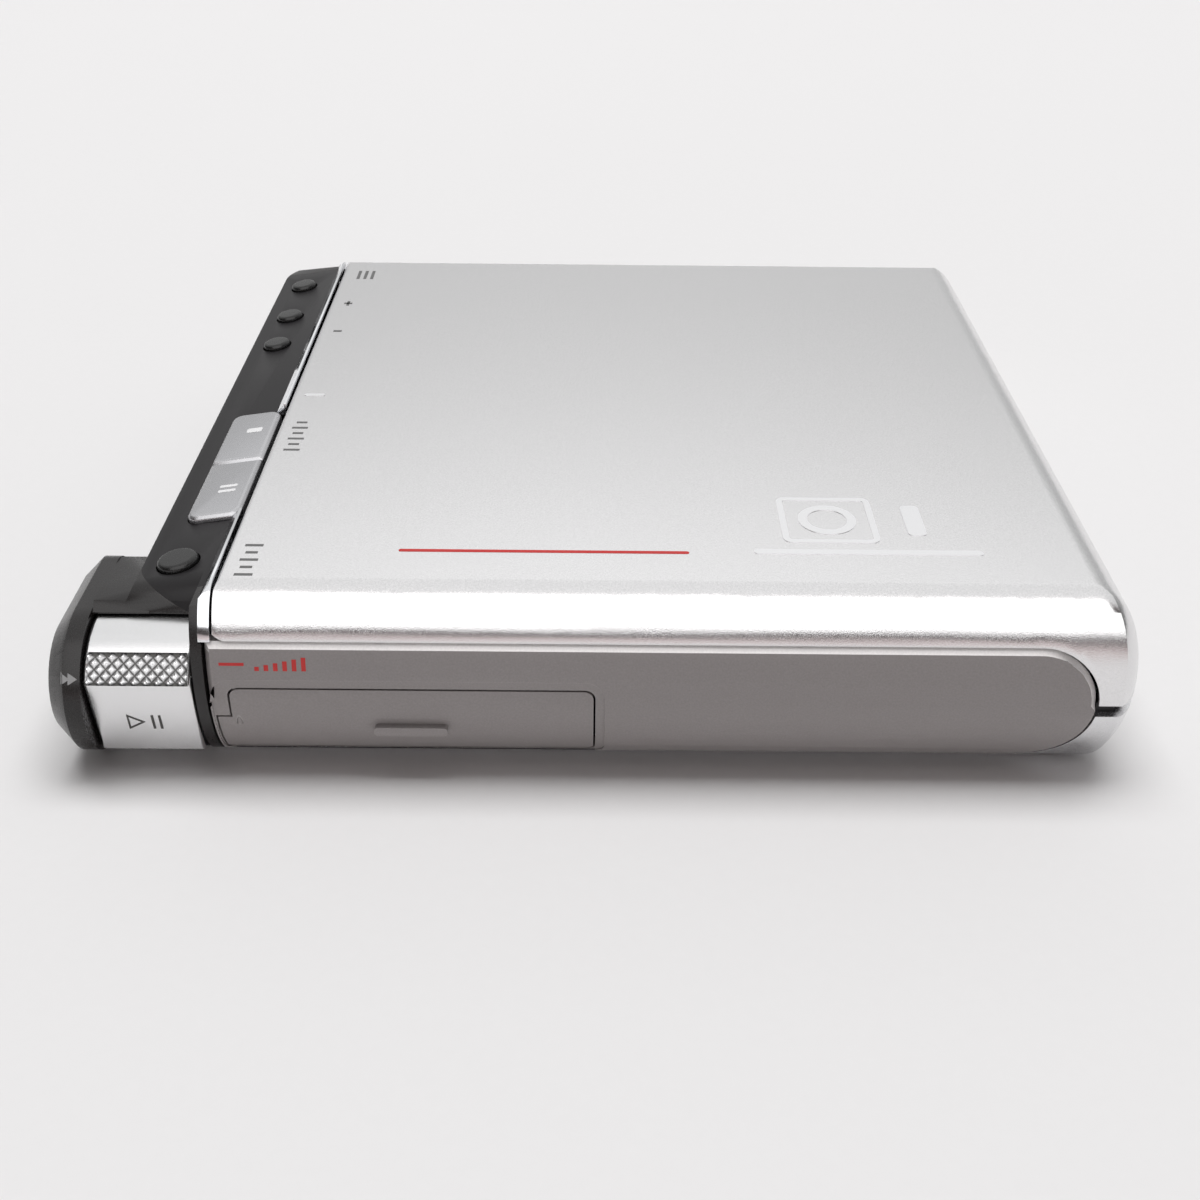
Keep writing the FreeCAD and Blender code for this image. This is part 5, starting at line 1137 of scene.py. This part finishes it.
def sky():
    """Soft light from all round that changes from the far side over the top to the near side."""
    world = bpy.data.worlds.new("studio_sky")
    bpy.context.scene.world = world
    world.use_nodes = True
    tree = world.node_tree
    axes = tree.nodes.new("ShaderNodeSeparateXYZ")
    wire(tree, tree.nodes.new("ShaderNodeTexCoord").outputs["Generated"], axes.inputs[0])
    rise = maths(tree, "MAXIMUM", axes.outputs["Z"], 0.0)
    turn = maths(tree, "DIVIDE", maths(tree, "ARCTAN2", rise, axes.outputs["Y"]), math.pi)
    beside = maths(tree, "MULTIPLY", axes.outputs["X"], axes.outputs["X"])
    faded = maths(tree, "SUBTRACT", 1.0, maths(tree, "MULTIPLY", beside, SIDE_FADE))
    light = tree.nodes["Background"]
    wire(tree, vector_maths(tree, "SCALE", sky_ramp(tree, turn), faded), light.inputs["Color"])
    light.inputs["Strength"].default_value = bpy.context.scene.recorder_stage.sky
    paper = tree.nodes.new("ShaderNodeBackground")
    wire(tree, BACKDROP, paper.inputs["Color"])
    either = tree.nodes.new("ShaderNodeMixShader")
    wire(tree, tree.nodes.new("ShaderNodeLightPath").outputs["Is Camera Ray"], either.inputs[0])
    wire(tree, light.outputs[0], either.inputs[1])
    wire(tree, paper.outputs[0], either.inputs[2])
    wire(tree, either.outputs[0], tree.nodes["World Output"].inputs["Surface"])


def lamp(name, low, high, across, radiance, hidden_from):
    """A soft lamp over the object, between two angles from the far side over the top."""
    middle = math.radians((low + high) / 2)
    along = 2 * LAMP_DISTANCE * math.tan(math.radians((high - low) / 2))
    place = LAMP_DISTANCE * Vector((0.0, math.cos(middle), math.sin(middle)))
    light = added(name, bpy.ops.object.light_add, type="AREA", location=place)
    light.data.shape = "RECTANGLE"
    light.data.size = across
    light.data.size_y = along
    light.data.energy = radiance * math.pi * across * along
    light.rotation_euler = (-place).to_track_quat("-Z", "Y").to_euler()
    setattr(light, hidden_from, False)


def camera():
    """The camera at the photograph's place and angle."""
    stage = bpy.context.scene.recorder_stage
    pitch, yaw, roll = stage.camera_pitch, stage.camera_yaw, stage.camera_roll
    ahead = Vector((math.sin(yaw) * math.cos(pitch), math.cos(yaw) * math.cos(pitch), -math.sin(pitch)))
    right = Vector((math.cos(yaw), -math.sin(yaw), 0.0))
    up = right.cross(ahead)
    leaned_right = right * math.cos(roll) + up * math.sin(roll)
    leaned_up = up * math.cos(roll) - right * math.sin(roll)
    turn = Matrix((leaned_right, leaned_up, -ahead)).transposed().to_4x4()
    item = added("photo_camera", bpy.ops.object.camera_add)
    item.matrix_world = Matrix.Translation(stage.camera_place) @ turn
    item.data.lens = stage.focal_length
    item.data.sensor_width = SENSOR_WIDTH
    item.data.clip_start, item.data.clip_end = CLIP
    bpy.context.scene.camera = item


class RECORDER_OT_stage(bpy.types.Operator):
    """Set the floor, the light and the camera"""
    bl_idname = "recorder.stage"
    bl_label = "Set stage"

    def execute(self, context):
        context.scene.view_settings.view_transform = "Standard"
        stage = context.scene.recorder_stage
        floor = added("studio_floor", bpy.ops.mesh.primitive_plane_add, size=FLOOR_SIZE,
                      location=(0.0, 0.0, -FLOOR_DROP))
        set_in_mesh(floor)
        # Pale paper, faintly uneven
        floor.data.materials.append(finish("floor_paper", stage.floor, 0.75, handled(3.0, 0.02),
                                           speckled(900.0, 0.02, 0.05)))
        sky()
        for name, (low, high, across, setting, hidden_from) in LAMPS.items():
            lamp(name, low, high, across, getattr(stage, setting), hidden_from)
        camera()
        return {"FINISHED"}


STEPS = (
    RECORDER_OT_finishes, RECORDER_OT_covers, RECORDER_OT_side_panels, RECORDER_OT_control_side,
    RECORDER_OT_buttons, RECORDER_OT_jog_ring, RECORDER_OT_sliders, RECORDER_OT_display,
    RECORDER_OT_marks, RECORDER_OT_inner_parts, RECORDER_OT_stage,
)


class RECORDER_PT_sidebar(bpy.types.Panel):
    """The recorder's sizes, colours and steps"""
    bl_idname = "RECORDER_PT_sidebar"
    bl_label = "Recorder"
    bl_space_type = "VIEW_3D"
    bl_region_type = "UI"
    bl_category = "Recorder"

    def draw(self, context):
        for place in SETTINGS:
            group = getattr(context.scene, place)
            column = self.layout.column()
            for name in group.__annotations__:
                column.prop(group, name)
        for step in STEPS:
            self.layout.operator(step.bl_idname)


SETTINGS = {
    "recorder_sizes": RecorderSizes, "recorder_colours": RecorderColours,
    "recorder_stage": RecorderStage,
}
CLASSES = (*SETTINGS.values(), *STEPS, RECORDER_PT_sidebar)


def register():
    """Adds the classes and the scene's settings."""
    for item in CLASSES:
        bpy.utils.register_class(item)
    for place, kind in SETTINGS.items():
        setattr(bpy.types.Scene, place, bpy.props.PointerProperty(type=kind))


def unregister():
    """Takes the classes and the scene's settings away."""
    for place in SETTINGS:
        delattr(bpy.types.Scene, place)
    for item in reversed(CLASSES):
        bpy.utils.unregister_class(item)


def main():
    """Registers the classes and runs every step in order."""
    register()
    for step in STEPS:
        family, name = step.bl_idname.split(".")
        getattr(getattr(bpy.ops, family), name)()


if __name__ == "__main__":
    main()
